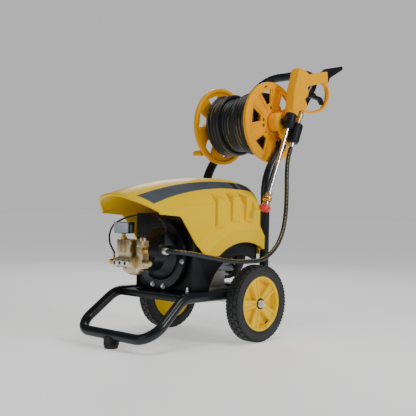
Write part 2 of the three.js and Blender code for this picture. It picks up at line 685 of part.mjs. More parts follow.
// ---------------------------------------------------------------- hose reel
const reel = group("reel");
const REEL_SHAFT_R = 9;
function flange(side, tag) {
  const at = [side * FLANGE_X, REEL_Y, REEL_Z];
  const out = [side, 0, 0];
  const disc = turned([
    [REEL_SHAFT_R + GAP, 0], [126, 0], [130, -8], [FLANGE_R, -8], [FLANGE_R, 3], [132, 7],
    [REEL_SHAFT_R + GAP, 7], [REEL_SHAFT_R + GAP, 0],
  ], at, out, 36);
  const windows = [];
  for (let i = 0; i < 6; i += 1) {
    const hole = sidePlate([[-11, 66], [11, 66], [30, 114], [-30, 114]], -30, 30);
    const turn = -((-22 + 60 * i) * Math.PI) / 180;
    windows.push(hole.rotateX(turn).translate(side * FLANGE_X, REEL_Y, REEL_Z));
  }
  add(reel, `reel_flange_${tag}`, cut(disc, ...windows), "amber");
}
flange(1, "right");
flange(-1, "left");
{
  const at = [0, REEL_Y, REEL_Z];
  const DRUM_R = 52;
  const half = FLANGE_X - 0.5;
  add(reel, "reel_drum", turned([
    [0, -197], [REEL_SHAFT_R, -197], [REEL_SHAFT_R, -half], [DRUM_R, -half], [DRUM_R, half],
    [REEL_SHAFT_R, half], [REEL_SHAFT_R, 168], [0, 168],
  ], at, X_AXIS, 20), "amber");
  const wound = [
    [DRUM_R + 1, -110], [92, -110], [118, -96], [123, -60], [100, -14], [100, 8],
    [115, 40], [115, 84], [92, 108], [DRUM_R + 1, 108], [DRUM_R + 1, -110],
  ];
  add(reel, "wound_hose", turned(wound, at, X_AXIS, 28), "hose_rubber");
}
function reelBracket(side, tag) {
  const out = [side, 0, 0];
  const at = [side * 131, REEL_Y, REEL_Z];
  const boss = turned([
    [REEL_SHAFT_R + GAP, 0], [30, 0], [33, 4], [33, 34], [27, 41], [REEL_SHAFT_R + GAP, 41],
    [REEL_SHAFT_R + GAP, 0],
  ], at, out, 20);
  const inner = side > 0 ? 161.6 : -171;
  const arm = sidePlate([
    [150, 722], [196, 762], [224, 722], [238, 700], [214, 664], [190, 668], [168, 690],
  ], inner, inner + 9.4);
  const bore = rod(REEL_SHAFT_R + GAP, REEL_SHAFT_R + GAP, 80, at, out, 20);
  add(reel, `reel_bracket_${tag}`, cut(union(boss, arm), bore), "amber");
}
reelBracket(1, "right");
reelBracket(-1, "left");
const CRANK = [-27, -96];
{
  const x0 = -190;
  const reach = Math.hypot(...CRANK);
  const [uy, uz] = [CRANK[0] / reach, CRANK[1] / reach];
  const across = [-uz, uy];
  const corner = (along, side) => [
    REEL_Y + uy * along + across[0] * side, REEL_Z + uz * along + across[1] * side];
  const blade = sidePlate([corner(0, 15), corner(0, -15), corner(reach, -10), corner(reach, 10)]
    .reverse(), x0 - 7, x0);
  const bossHub = rod(19, 17, 16, [x0 + 4, REEL_Y, REEL_Z], [-1, 0, 0], 20);
  const pinAt = [x0, REEL_Y + CRANK[0], REEL_Z + CRANK[1]];
  const eye = rod(12, 12, 7, pinAt, [-1, 0, 0], 16);
  const pin = rod(4, 4, 40, pinAt, [-1, 0, 0], 12);
  const tipDisc = rod(7, 7, 3, [pinAt[0] - 40, pinAt[1], pinAt[2]], [-1, 0, 0], 12);
  const shaftHole = rod(REEL_SHAFT_R + GAP, REEL_SHAFT_R + GAP, 30, [-178, REEL_Y, REEL_Z],
    [-1, 0, 0], 20);
  add(reel, "crank_arm", cut(union(blade, bossHub, eye, pin, tipDisc), shaftHole), "amber");
  const grip = turned([
    [4.4, 7.5], [12, 7.5], [11, 22], [12, 39.5], [4.4, 39.5], [4.4, 7.5],
  ], pinAt, [-1, 0, 0], 16);
  add(reel, "crank_knob", grip, "amber");
}

// ---------------------------------------------------------------- spray gun
const gun = group("gun");
const down = new THREE.Vector3(...LANCE_TIP).sub(new THREE.Vector3(...LANCE_TOP)).normalize();
const DOWN = [0, down.y, down.z];
const UP = [0, -down.y, -down.z];
function onLance(distance) {
  return [GUN_X, LANCE_TOP[1] + DOWN[1] * distance, LANCE_TOP[2] + DOWN[2] * distance];
}
const INLET = [234, 781];
function onInlet(distance) {
  return [GUN_X, INLET[0] + DOWN[1] * distance, INLET[1] + DOWN[2] * distance];
}
{
  const torso = sidePlate([
    [166, 776], [214, 785], [246, 790], [248, 810], [236, 828], [250, 838], [256, 852],
    [250, 870], [264, 878], [372, 904], [366, 944], [258, 918], [242, 926], [206, 934],
    [198, 926], [172, 850],
  ], GUN_X - 19, GUN_X + 19);
  const barrel = turned([[0, -52.5], [20, -52.5], [22, -60], [22, -128], [14, -142], [0, -142]],
    onLance(0), DOWN, 24);
  const guardOutside = [
    [366, 906], [384, 896], [394, 872], [392, 848], [380, 823], [355, 801], [318, 788],
    [284, 784], [246, 786],
  ];
  const guardInside = [
    [246, 796], [284, 793], [315, 797], [349, 810], [372, 829], [383, 851], [385, 871],
    [377, 890], [358, 900],
  ];
  const guard = sidePlate([...guardOutside, ...guardInside].reverse(), GUN_X - 9, GUN_X + 9);
  const slot = box([GUN_X - 8.5, 238, 836], [GUN_X + 8.5, 270, 869]);
  const inletSeat = rod(10, 10, 20, onInlet(-8), DOWN, 20);
  const lanceHole = rod(7, 7, 60, onLance(-94), DOWN, 20);
  add(gun, "gun_body", cut(union(torso, barrel, guard), slot, inletSeat, lanceHole), "amber");

  const cap = sidePlate([
    [372.6, 903], [379, 905], [386, 922], [466, 964], [468, 974], [462, 977], [384, 958],
    [374, 949], [366.6, 946],
  ], GUN_X - 15, GUN_X + 15);
  add(gun, "grip_cap", cap, "black_plastic");

  const lever = sidePlate([
    [244, 846], [252, 842], [300, 840], [340, 836], [351, 824], [358, 821], [362, 827],
    [354, 842], [344, 848], [300, 853], [264, 858], [250, 862], [243, 856],
  ], GUN_X - 8, GUN_X + 8);
  add(gun, "trigger", lever, "black_plastic");

  const flap = sidePlate([[292, 856.5], [297, 854], [314, 852.4], [316, 856], [302, 860],
    [295, 860]], GUN_X - 6, GUN_X + 6);
  add(gun, "safety_latch", flap, "black_plastic");

  const collar = cut(
    turned([[0, -52], [19.5, -52], [20, -46], [17.5, -4], [16, 0], [0, 0]], onLance(0), DOWN, 24),
    rod(7, 7, 80, onLance(-60), DOWN, 20));
  add(gun, "gun_collar", collar, "black_plastic");

  add(gun, "lance", rod(6.5, 6.5, 330, onLance(-85), DOWN, 20), "chrome");

  const socket = turned([
    [0, 245.5], [12, 245.5], [12, 254], [8, 254], [8, 282], [12.5, 282], [12.5, 290], [0, 290],
  ], onLance(0), DOWN, 20);
  add(gun, "quick_socket", socket, "brass");
  const sleeve = turned([
    [8 + GAP, 261], [14, 261], [15.5, 263], [15.5, 272], [14, 275], [8 + GAP, 275],
    [8 + GAP, 261],
  ], onLance(0), DOWN, 24);
  add(gun, "quick_sleeve", sleeve, "gold_brass");

  const tip = turned([
    [2, 290.3], [12, 290.3], [18.5, 295], [19, 305], [15, 311], [9, 313], [6, 308], [2, 304],
    [2, 290.3],
  ], onLance(0), DOWN, 20);
  add(gun, "spray_nozzle", tip, "red");

  const inlet = turned([
    [0, -5], [9, -5], [9, 8], [12, 8], [12, 22], [9, 22], [9, 36], [9.8, 36], [9.8, 68],
    [0, 68],
  ], onInlet(0), DOWN, 16);
  add(gun, "gun_inlet", inlet, "brass");
  add(gun, "gun_coupler", handNut(onInlet(48), DOWN, 70), "black_plastic");
  add(gun, "gun_ferrule", hoseEnd(onInlet(118), DOWN, 19), "steel");

  const clipAt = onLance(-26);
  const loop = ring(19.6, 23, -9, 9, clipAt, UP, 24);
  const mouth = box([GUN_X + 6, clipAt[1] - 40, clipAt[2] - 40],
    [GUN_X + 40, clipAt[1] + 40, clipAt[2] + 40]);
  const pad = box([172.4, REEL_Y - 12, REEL_Z - 9], [179, REEL_Y + 14, REEL_Z + 9]);
  const wayOut = rod(19.6, 19.6, 60, onLance(4), UP, 24);
  add(gun, "gun_clip", cut(union(cut(loop, mouth), pad), wayOut), "black_steel");
}

export default root;
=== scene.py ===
"""Wheeled electric pressure washer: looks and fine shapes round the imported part."""
import json
import math

import bmesh
import bpy
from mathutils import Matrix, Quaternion, Vector


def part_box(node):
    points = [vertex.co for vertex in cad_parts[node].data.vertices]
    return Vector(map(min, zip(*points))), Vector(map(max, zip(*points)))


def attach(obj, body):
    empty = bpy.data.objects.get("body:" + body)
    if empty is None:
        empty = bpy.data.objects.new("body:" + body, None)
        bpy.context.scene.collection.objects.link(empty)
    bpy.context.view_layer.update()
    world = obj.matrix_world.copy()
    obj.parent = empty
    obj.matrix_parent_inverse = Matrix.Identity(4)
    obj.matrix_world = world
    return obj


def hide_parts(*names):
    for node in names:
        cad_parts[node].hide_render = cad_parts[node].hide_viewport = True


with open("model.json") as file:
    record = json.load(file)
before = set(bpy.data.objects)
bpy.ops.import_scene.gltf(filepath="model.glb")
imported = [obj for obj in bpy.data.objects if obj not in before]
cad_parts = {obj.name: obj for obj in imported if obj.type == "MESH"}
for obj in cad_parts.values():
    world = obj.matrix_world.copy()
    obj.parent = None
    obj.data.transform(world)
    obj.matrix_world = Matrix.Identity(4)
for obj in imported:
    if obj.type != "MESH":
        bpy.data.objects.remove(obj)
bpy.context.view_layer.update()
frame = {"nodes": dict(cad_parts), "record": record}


# ------------------------------------------------------------------ places
def middle(node):
    low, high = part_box(node)
    return (low + high) / 2


# Machine coordinates: millimetres from the point on the floor straight below the axle.
BELOW_AXLE = Vector((0, middle("axle").y, 0))
X, Y, Z = Vector((1, 0, 0)), Vector((0, 1, 0)), Vector((0, 0, 1))


def mm(x, y, z):
    return BELOW_AXLE + Vector((x, y, z)) / 1000


def machine(point):
    return (Vector(point) - BELOW_AXLE) * 1000


WHEEL = machine(middle("tyre_right"))
WHEEL_R = WHEEL.z
REEL = machine(middle("reel_drum"))
FLANGE_X = 121
TUBE_R = 16
GUN_X = 200
LANCE_TOP = Vector((GUN_X, 161, 720))
LANCE_TIP = Vector((GUN_X, 67, 492))
DOWN = (LANCE_TIP - LANCE_TOP).normalized()


# ------------------------------------------------------------------ camera
AZIMUTH, ELEVATION, ROLL = 43.63, 0.46, 1.12       # degrees
LENS = 65.95                                       # mm
DISTANCE = 2.6562                                  # m, back from the point below
AIM_HEIGHT = 400                                   # mm, over the middle of the axle


def make_camera():
    azimuth, elevation = math.radians(AZIMUTH), math.radians(ELEVATION)
    back = Vector((math.sin(azimuth) * math.cos(elevation),
                   -math.cos(azimuth) * math.cos(elevation), math.sin(elevation)))
    data = bpy.data.cameras.new("camera")
    data.lens = LENS
    data.sensor_width = 36
    data.shift_x = -0.009
    data.shift_y = 0.027
    cam = bpy.data.objects.new("camera", data)
    bpy.context.scene.collection.objects.link(cam)
    cam.location = mm(0, 0, AIM_HEIGHT) + back * DISTANCE
    cam.rotation_mode = "QUATERNION"
    turn = (-back).to_track_quat("-Z", "Y")
    cam.rotation_quaternion = turn @ Quaternion((0, 0, 1), math.radians(ROLL))
    bpy.context.scene.camera = cam


make_camera()


# ------------------------------------------------------------------ materials
def link(tree, a, b):
    tree.links.new(a, b)


def node(tree, kind, **values):
    made = tree.nodes.new(kind)
    for key, value in values.items():
        if hasattr(made, key):
            setattr(made, key, value)
        else:
            made.inputs[key].default_value = value
    return made


def shade(colour, factor):
    return tuple(min(1, c * factor) for c in colour[:3]) + (1,)


WEAR_SPAN = 0.1              # from first wear to full wear, in pointiness
DUST = (0.32, 0.3, 0.27, 1)
MIX_A, MIX_B, MIX_OUT = 6, 7, 2   # the colour sockets of a mix node


def finish(name, colour, rough, metal=0.0, vary=0.10, blotch=9.0, grain=420.0, bump=0.06,
           wear=None, wear_from=0.56, dust=0.0, coat=0.0, transmission=0.0,
           specular=0.5, tint=(1, 1, 1), spread=0.08):
    """Principled surface with uneven colour and gloss, fine grain and paler or darker edges."""
    material = bpy.data.materials.new(name)
    material.use_nodes = True
    tree = material.node_tree
    shader = tree.nodes["Principled BSDF"]
    shader.inputs["Metallic"].default_value = metal
    shader.inputs["Specular IOR Level"].default_value = specular
    shader.inputs["Specular Tint"].default_value = shade(tint, 1)
    shader.inputs["Coat Weight"].default_value = coat
    shader.inputs["Coat Roughness"].default_value = 0.12
    shader.inputs["Transmission Weight"].default_value = transmission
    where = node(tree, "ShaderNodeTexCoord")
    patches = node(tree, "ShaderNodeTexNoise", Scale=blotch, Detail=4.0, Roughness=0.6)
    link(tree, where.outputs["Object"], patches.inputs["Vector"])
    ramp = node(tree, "ShaderNodeValToRGB")
    ramp.color_ramp.elements[0].position = 0.3
    ramp.color_ramp.elements[0].color = shade(colour, 1 - vary)
    ramp.color_ramp.elements[1].position = 0.7
    ramp.color_ramp.elements[1].color = shade(colour, 1 + vary * 0.6)
    link(tree, patches.outputs["Fac"], ramp.inputs["Fac"])
    last = ramp.outputs["Color"]
    fine = node(tree, "ShaderNodeTexNoise", Scale=grain, Detail=3.0, Roughness=0.6)
    link(tree, where.outputs["Object"], fine.inputs["Vector"])
    if wear:
        form = node(tree, "ShaderNodeNewGeometry")
        edge = node(tree, "ShaderNodeMapRange")
        edge.inputs["From Min"].default_value = wear_from
        edge.inputs["From Max"].default_value = wear_from + WEAR_SPAN
        edge.inputs["To Max"].default_value = 0.75
        link(tree, form.outputs["Pointiness"], edge.inputs["Value"])
        broken = node(tree, "ShaderNodeMath", operation="MULTIPLY")
        link(tree, edge.outputs["Result"], broken.inputs[0])
        link(tree, patches.outputs["Fac"], broken.inputs[1])
        mix = node(tree, "ShaderNodeMix", data_type="RGBA")
        link(tree, broken.outputs["Value"], mix.inputs["Factor"])
        link(tree, last, mix.inputs[MIX_A])
        mix.inputs[MIX_B].default_value = shade(wear, 1)
        last = mix.outputs[MIX_OUT]
    if dust:
        speck = node(tree, "ShaderNodeMapRange")
        speck.inputs["From Min"].default_value = 0.62
        speck.inputs["From Max"].default_value = 0.8
        speck.inputs["To Max"].default_value = dust
        link(tree, fine.outputs["Fac"], speck.inputs["Value"])
        veil = node(tree, "ShaderNodeMix", data_type="RGBA")
        link(tree, speck.outputs["Result"], veil.inputs["Factor"])
        link(tree, last, veil.inputs[MIX_A])
        veil.inputs[MIX_B].default_value = DUST
        last = veil.outputs[MIX_OUT]
    link(tree, last, shader.inputs["Base Color"])
    gloss = node(tree, "ShaderNodeMapRange")
    gloss.inputs["To Min"].default_value = max(0.02, rough - spread)
    gloss.inputs["To Max"].default_value = min(1, rough + spread)
    link(tree, patches.outputs["Fac"], gloss.inputs["Value"])
    link(tree, gloss.outputs["Result"], shader.inputs["Roughness"])
    relief = node(tree, "ShaderNodeBump", Strength=bump, Distance=0.0006)
    link(tree, fine.outputs["Fac"], relief.inputs["Height"])
    link(tree, relief.outputs["Normal"], shader.inputs["Normal"])
    return material


LOOKS = {
    "yellow_plastic": finish("yellow_plastic", (1.0, 0.64, 0.0), 0.36, vary=0.03, blotch=5,
                             specular=0.3, tint=(1, 0.7, 0.05), wear=(1.0, 0.7, 0.05), bump=0.04),
    "amber_plastic": finish("amber_plastic", (1.0, 0.43, 0.0), 0.42, vary=0.06, blotch=7,
                            specular=0.3, tint=(1, 0.6, 0.05), wear=(1.0, 0.55, 0.03), bump=0.06),
    "black_steel": finish("black_steel", (0.007, 0.010, 0.014), 0.3, vary=0.15, specular=0.4,
                          spread=0.03, wear=(0.04, 0.045, 0.05), wear_from=0.66, bump=0.04),
    "black_plastic": finish("black_plastic", (0.005, 0.006, 0.008), 0.46, specular=0.28, vary=0.18,
                            wear=(0.05, 0.05, 0.055), bump=0.12, grain=700),
    "tyre_rubber": finish("tyre_rubber", (0.018, 0.02, 0.022), 0.62, vary=0.2, dust=0.16,
                          wear=(0.07, 0.07, 0.07), bump=0.2, grain=260),
    "foot_rubber": finish("foot_rubber", (0.02, 0.02, 0.02), 0.7, vary=0.2, dust=0.2,
                          wear=(0.06, 0.06, 0.06), bump=0.2),
    "hose_rubber": finish("hose_rubber", (0.011, 0.014, 0.018), 0.42, spread=0.04, vary=0.2,
                          blotch=30, wear=(0.05, 0.055, 0.06), bump=0.15, grain=900),
    "brass": finish("brass", (0.70, 0.58, 0.34), 0.32, metal=1.0, vary=0.2, blotch=70, bump=0.3,
                    grain=900, wear=(0.9, 0.8, 0.55)),
    "gold_brass": finish("gold_brass", (0.80, 0.46, 0.11), 0.26, metal=0.95, vary=0.1, blotch=80,
                         wear=(0.95, 0.75, 0.4), bump=0.08),
    "zinc_steel": finish("zinc_steel", (0.78, 0.82, 0.86), 0.3, metal=0.95, vary=0.12, blotch=70,
                         wear=(0.85, 0.86, 0.88), bump=0.12),
    "chrome": finish("chrome", (0.82, 0.86, 0.92), 0.2, metal=1.0, vary=0.06, blotch=30,
                     wear=(0.9, 0.92, 0.95), bump=0.02, spread=0.03),
    "aluminium": finish("aluminium", (0.55, 0.57, 0.59), 0.42, metal=0.9, vary=0.1, blotch=40,
                        wear=(0.75, 0.76, 0.78), bump=0.25, grain=600),
    "glass": finish("glass", (0.93, 0.96, 0.97), 0.06, vary=0.02, bump=0.02, transmission=1.0),
    "red_plastic": finish("red_plastic", (0.72, 0.035, 0.03), 0.38, vary=0.1, blotch=40,
                          wear=(0.85, 0.2, 0.16), bump=0.08),
}
DETAILS = {
    "gauge_metal": finish("gauge_metal", (0.30, 0.34, 0.38), 0.28, metal=1.0, vary=0.15, blotch=40,
                          wear=(0.7, 0.73, 0.76), bump=0.05),
    "slate_label": finish("slate_label", (0.075, 0.092, 0.112), 0.3, vary=0.14, blotch=14,
                          wear=(0.12, 0.14, 0.17), coat=0.3, bump=0.04),
    "dark_label": finish("dark_label", (0.012, 0.013, 0.016), 0.3, vary=0.2, coat=0.3, bump=0.04),
    "yellow_print": finish("yellow_print", (0.62, 0.43, 0.05), 0.5, vary=0.2, blotch=120),
    "white_dial": finish("white_dial", (0.82, 0.83, 0.82), 0.5, vary=0.05, blotch=60),
    "shadow": finish("shadow", (0.10, 0.035, 0.002), 0.7, vary=0.2),
    # Painted shade: near-black colour that stands for the shade inside the valve caps' hex sockets.
    "painted_hole_shade": finish("painted_hole_shade", (0.006, 0.007, 0.009), 0.5, vary=0.2),
    "hood_lip": finish("hood_lip", (1.0, 0.64, 0.0), 0.34, vary=0.04, specular=0.4,
                       tint=(1, 0.75, 0.12), wear=(1.0, 0.75, 0.1)),
}


# ------------------------------------------------------------------ shapes
def build(name, verts, faces, body, look, smooth=40, stands_for=()):
    """A mesh piece from points in metres. It rides on a body and has one finish."""
    mesh = bpy.data.meshes.new(name)
    mesh.from_pydata([tuple(v) for v in verts], [], [list(f) for f in faces])
    mesh.validate()
    shaped = bmesh.new()
    shaped.from_mesh(mesh)
    bmesh.ops.recalc_face_normals(shaped, faces=shaped.faces)
    shaped.to_mesh(mesh)
    shaped.free()
    mesh.shade_smooth()
    mesh.set_sharp_from_angle(angle=math.radians(smooth))
    mesh.materials.append(LOOKS.get(look) or DETAILS[look])
    piece = bpy.data.objects.new(name, mesh)
    bpy.context.scene.collection.objects.link(piece)
    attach(piece, body)
    if stands_for:
        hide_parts(*stands_for)
    return piece


class Shape:
    """Collects the closed shells of one piece."""

    def __init__(self):
        self.verts = []
        self.faces = []

    def add(self, verts, faces):
        first = len(self.verts)
        self.verts += [Vector(v) for v in verts]
        self.faces += [[first + i for i in face] for face in faces]
        return self

    def lathe(self, profile, at, axis, sides=48):
        """profile: (radius, distance) in mm, closed on itself; at in metres."""
        axis = Vector(axis).normalized()
        across = axis.orthogonal().normalized()
        other = axis.cross(across)
        verts, faces = [], []
        count = len(profile)
        for k in range(sides):
            a = 2 * math.pi * k / sides
            arm = across * math.cos(a) + other * math.sin(a)
            verts += [Vector(at) + (arm * r + axis * h) / 1000 for r, h in profile]
        for k in range(sides):
            here, there = k * count, (k + 1) % sides * count
            for i in range(count):
                j = (i + 1) % count
                faces.append((here + i, here + j, there + j, there + i))
        return self.add(verts, faces)

    def rod(self, r0, r1, length, at, axis, sides=32, round_off=0.6):
        c = min(round_off, length / 3)
        return self.lathe([(0.001, 0), (r0 - c, 0), (r0, c), (r1, length - c), (r1 - c, length),
                           (0.001, length)], at, axis, sides)

    def sweep(self, points, radius, sides=20, flat=1.0, closed=False, up=None):
        """Tube along points in metres; flat squeezes the section across `up`."""
        count = len(points)
        rings = []
        normal = None
        for i, p in enumerate(points):
            before = points[i - 1] if i or closed else points[i]
            after = points[(i + 1) % count] if i < count - 1 or closed else points[i]
            tangent = (Vector(after) - Vector(before)).normalized()
            if up is not None:
                normal = (up - tangent * up.dot(tangent)).normalized()
            elif normal is None:
                normal = tangent.orthogonal().normalized()
            else:
                normal = (normal - tangent * normal.dot(tangent)).normalized()
            other = tangent.cross(normal)
            ring = []
            for k in range(sides):
                a = 2 * math.pi * k / sides
                ring.append(Vector(p) + (normal * math.cos(a) + other * math.sin(a) * flat)
                            * radius / 1000)
            rings.append(ring)
        verts = [v for ring in rings for v in ring]
        faces = []
        for i in range(count if closed else count - 1):
            here, there = i * sides, (i + 1) % count * sides
            for k in range(sides):
                n = (k + 1) % sides
                faces.append((here + k, here + n, there + n, there + k))
        if not closed:
            faces.append(list(range(sides))[::-1])
            faces.append([(count - 1) * sides + k for k in range(sides)])
        return self.add(verts, faces)

    def block(self, centre, axes, sizes, ease=1.0):
        """Box with eased edges: centre in metres, sizes in mm along three axes."""
        shaped = bmesh.new()
        bmesh.ops.create_cube(shaped, size=1)
        for v in shaped.verts:
            v.co = Vector([c * s for c, s in zip(v.co, sizes)])
        if ease:
            bmesh.ops.bevel(shaped, geom=shaped.edges[:], offset=ease, segments=2, profile=0.6,
                            affect="EDGES")
        shaped.verts.index_update()
        verts = [Vector(centre) + (axes[0] * v.co.x + axes[1] * v.co.y + axes[2] * v.co.z) / 1000
                 for v in shaped.verts]
        faces = [[v.index for v in f.verts] for f in shaped.faces]
        shaped.free()
        return self.add(verts, faces)

    def moulding(self, outline, inner, outer, ease):
        """Prism from an outline in the Y-Z plane, rounded everywhere but at its inner rim."""
        shaped = bmesh.new()
        rims = [[shaped.verts.new(mm(x, y, z)) for y, z in outline] for x in (inner, outer)]
        shaped.faces.new(rims[0])
        shaped.faces.new(rims[1])
        count = len(outline)
        for i in range(count):
            j = (i + 1) % count
            shaped.faces.new((rims[0][i], rims[0][j], rims[1][j], rims[1][i]))
        bmesh.ops.recalc_face_normals(shaped, faces=shaped.faces)
        plain = set(rims[0])
        edges = [e for e in shaped.edges
                 if not plain.issuperset(e.verts) and e.calc_face_angle(0) > 0.3]
        bmesh.ops.bevel(shaped, geom=edges, offset=ease / 1000, segments=4, profile=0.5,
                        affect="EDGES", clamp_overlap=True)
        shaped.verts.index_update()
        verts = [v.co.copy() for v in shaped.verts]
        faces = [[v.index for v in f.verts] for f in shaped.faces]
        shaped.free()
        return self.add(verts, faces)

    def piece(self, name, body, look, slot=None, smooth=40, stands_for=()):
        return build(name, self.verts, self.faces, body, look, smooth, stands_for)


BODY_OF = {n: b for b, members in frame["record"]["behaviour"]["bodies"].items() for n in members}
SLOT_OF = {s["node"]: s["material_slot"] for s in frame["record"]["subparts"]}


def eased(node_name, ease=0.8, sharp=34, change=None, look=None):
    """The CAD node with its edges rounded by `ease` mm and its curved faces shaded smooth."""
    source = frame["nodes"][node_name].data
    shaped = bmesh.new()
    shaped.from_mesh(source)
    bmesh.ops.remove_doubles(shaped, verts=shaped.verts, dist=1e-5)
    bmesh.ops.dissolve_limit(shaped, angle_limit=math.radians(0.8), verts=shaped.verts,
                             edges=shaped.edges)
    if ease:
        edges = [e for e in shaped.edges
                 if len(e.link_faces) == 2 and e.calc_face_angle(0) > math.radians(sharp)]
        bmesh.ops.bevel(shaped, geom=edges, offset=ease / 1000, segments=2, profile=0.6,
                        affect="EDGES", clamp_overlap=True)
    if change:
        change(shaped)
    shaped.verts.index_update()
    verts = [v.co.copy() for v in shaped.verts]
    faces = [[v.index for v in f.verts] for f in shaped.faces]
    shaped.free()
    slot = SLOT_OF[node_name]
    return build(node_name + "_form", verts, faces, BODY_OF[node_name], look or slot,
                 smooth=sharp + 4, stands_for=(node_name,))


def smooth_path(route, per_span=8):
    """Points of a Catmull-Rom curve through machine points, in metres."""
    pts = [mm(*p) for p in route]
    ends = [pts[0] * 2 - pts[1]] + pts + [pts[-1] * 2 - pts[-2]]
    path = []
    for i in range(1, len(ends) - 2):
        a, b, c, d = ends[i - 1:i + 3]
        for k in range(per_span):
            t = k / per_span
            path.append(0.5 * ((2 * b) + (c - a) * t + (2 * a - 5 * b + 4 * c - d) * t * t
                               + (3 * b - a - 3 * c + d) * t ** 3))
    return path + [pts[-1]]


def rounded_path(corners, radii, step=0.12):
    """Straight runs between machine points with each inner corner rounded, in metres."""
    at = [Vector(c) for c in corners]
    path = [at[0]]
    for i in range(1, len(at) - 1):
        back = (at[i - 1] - at[i]).normalized()
        on = (at[i + 1] - at[i]).normalized()
        turn = math.pi - back.angle(on)
        centre = at[i] + (back + on).normalized() * radii[i - 1] / math.cos(turn / 2)
        start = at[i] + back * radii[i - 1] * math.tan(turn / 2) - centre
        axis = back.cross(on).normalized()
        count = max(3, math.ceil(turn / step))
        for k in range(count + 1):
            path.append(centre + Quaternion(axis, -turn * k / count) @ start)
    path.append(at[-1])
    return [mm(*p) for p in path]


# ------------------------------------------------------------------ hoses
HOSE_R = 7.5
THIN_R = 3
MAIN_ROUTE = [
    (163.8, -361, 304), (187, -360, 304), (203, -341, 302), (211, -303, 297), (216, -245, 287),
    (220, -174, 275), (220, -105, 268), (220, -45, 267.5), (220, 5, 270), (218, 52, 286),
    (214, 95, 314), (208, 128, 349), (203, 149, 388), (200, 161, 440), (199, 164, 500),
    (199, 163, 560), (199.5, 166, 606), (200, 174.6, 637), (200, 181.2, 653),
]
THIN_ROUTE = [
    (-57, -385, 284.9), (-58, -385, 292), (-70, -384, 304), (-88, -380, 325), (-92, -376, 353),
    (-76, -371, 380), (-36, -362, 400), (2, -346, 411), (36, -330, 415), (60, -316, 410),
    (74, -301, 392), (71, -284, 372), (66, -278, 360), (66, -278, 353),
]


def printed_line(name, path, radius, toward, body, dash, gap, skip, width=1.5):
    """Broken printed line along a hose, on the side that `toward` says for each point."""
    shape = Shape()
    run = 0.0
    for a, b in zip(path, path[1:]):
        tangent = (b - a).normalized()
        aim = toward(a)
        out = (aim - tangent * aim.dot(tangent)).normalized()
        side = tangent.cross(out)
        step = (b - a).length * 1000
        if run >= skip and (run % (dash + gap)) < dash:
            shape.block((a + b) / 2 + out * (radius + 0.02) / 1000, (tangent, side, out),
                        (step * 0.9, width, 0.5), ease=0)
        run += step
    shape.piece(name, body, "yellow_print", "hose_rubber")


def resample(path, step):
    """Points `step` mm apart along a path."""
    out = [path[0]]
    left = step / 1000
    for a, b in zip(path, path[1:]):
        span = (b - a).length
        gone = 0.0
        while span - gone >= left:
            gone += left
            out.append(a + (b - a) * (gone / span))
            left = step / 1000
        left -= span - gone
    return out


def make_hoses():
    outlet_ferrule = eased("outlet_ferrule", 0.8)
    gun_ferrule = eased("gun_ferrule", 0.8)
    ends = [outlet_ferrule, gun_ferrule]
    for name, route, radius, far, with_pieces, stiffness in (
            ("connecting_hose", MAIN_ROUTE, HOSE_R, "fitting", ends, "stiff"),
            ("thin_hose", THIN_ROUTE, THIN_R, "object", [], "medium")):
        path = smooth_path(route)
        tube = Shape().sweep(path, radius, sides=24).piece(
            name + "_form", "machine", "hose_rubber", stands_for=(name,))
    line = resample(smooth_path(MAIN_ROUTE), 3.2)
    aside = Vector((0.55, -0.45, 0.7))
    printed_line("connecting_hose_print", line, HOSE_R, lambda point: aside, "machine",
                 dash=9, gap=4, skip=22)


make_hoses()


# ------------------------------------------------------------------ frame
def make_frame():
    half, front_half, z, rear, cross_y, cross_z = 160, 180, 156, 140, -437, 41
    loop = rounded_path([
        (half, rear, z), (half + 2, -290, z), (front_half, cross_y, cross_z),
        (-front_half, cross_y, cross_z), (-half - 2, -290, z), (-half, rear, z)], [90, 62, 62, 90])
    shape = Shape().sweep(loop, TUBE_R, sides=32)
    axes = (X, Y, Z)
    for y, deep, z0, z1 in ((114, 40, z - 16, z + 16), (-267, 34, z - 14, z + 3),
                            (49, 26, z - 14, z + 3)):
        shape.block(mm(0, y, (z0 + z1) / 2), axes, (2 * half, deep, z1 - z0), 2)
    for side in (-1, 1):
        shape.block(mm(side * 150, 0, WHEEL_R + 3.5), axes, (10, 48, 51), 1.5)
        for y in (-267, 49, 114):
            bead = [mm(side * (half - 14), y + 14 * math.cos(a), z - 2 + 13 * math.sin(a))
                    for a in [k * math.pi / 8 for k in range(9)]]
            shape.sweep(bead, 2.2, sides=8)
    shape.piece("base_frame_form", "machine", "black_steel", stands_for=("base_frame",))

    bend_z, top_y, top_z, post_x, post_y = 552, 420, 957, 145, 114
    low = z + 16.3
    bar = rounded_path([
        (post_x, post_y, low), (post_x, post_y, bend_z), (post_x, top_y, top_z),
        (-post_x, top_y, top_z), (-post_x, post_y, bend_z), (-post_x, post_y, low)],
        [180, 92, 92, 180])
    shape = Shape().sweep(bar, TUBE_R, sides=32)
    for side in (-1, 1):
        shape.block(mm(side * post_x, post_y, low + 3), axes, (52, 40, 6), 1.5)
    shape.piece("handle_frame_form", "machine", "black_steel", stands_for=("handle_frame",))
    eased("base_plate", 1.0)
    eased("front_foot", 1.5)
    for side in (-1, 1):
        caps = Shape().rod(15.2, 13.5, 3.5, mm(side * half, rear, z), Y)
        caps.piece("tube_plug_right" if side > 0 else "tube_plug_left", "machine", "black_plastic")


# ------------------------------------------------------------------ wheels
SPOKE_TURN = 0.34            # radians, from upright


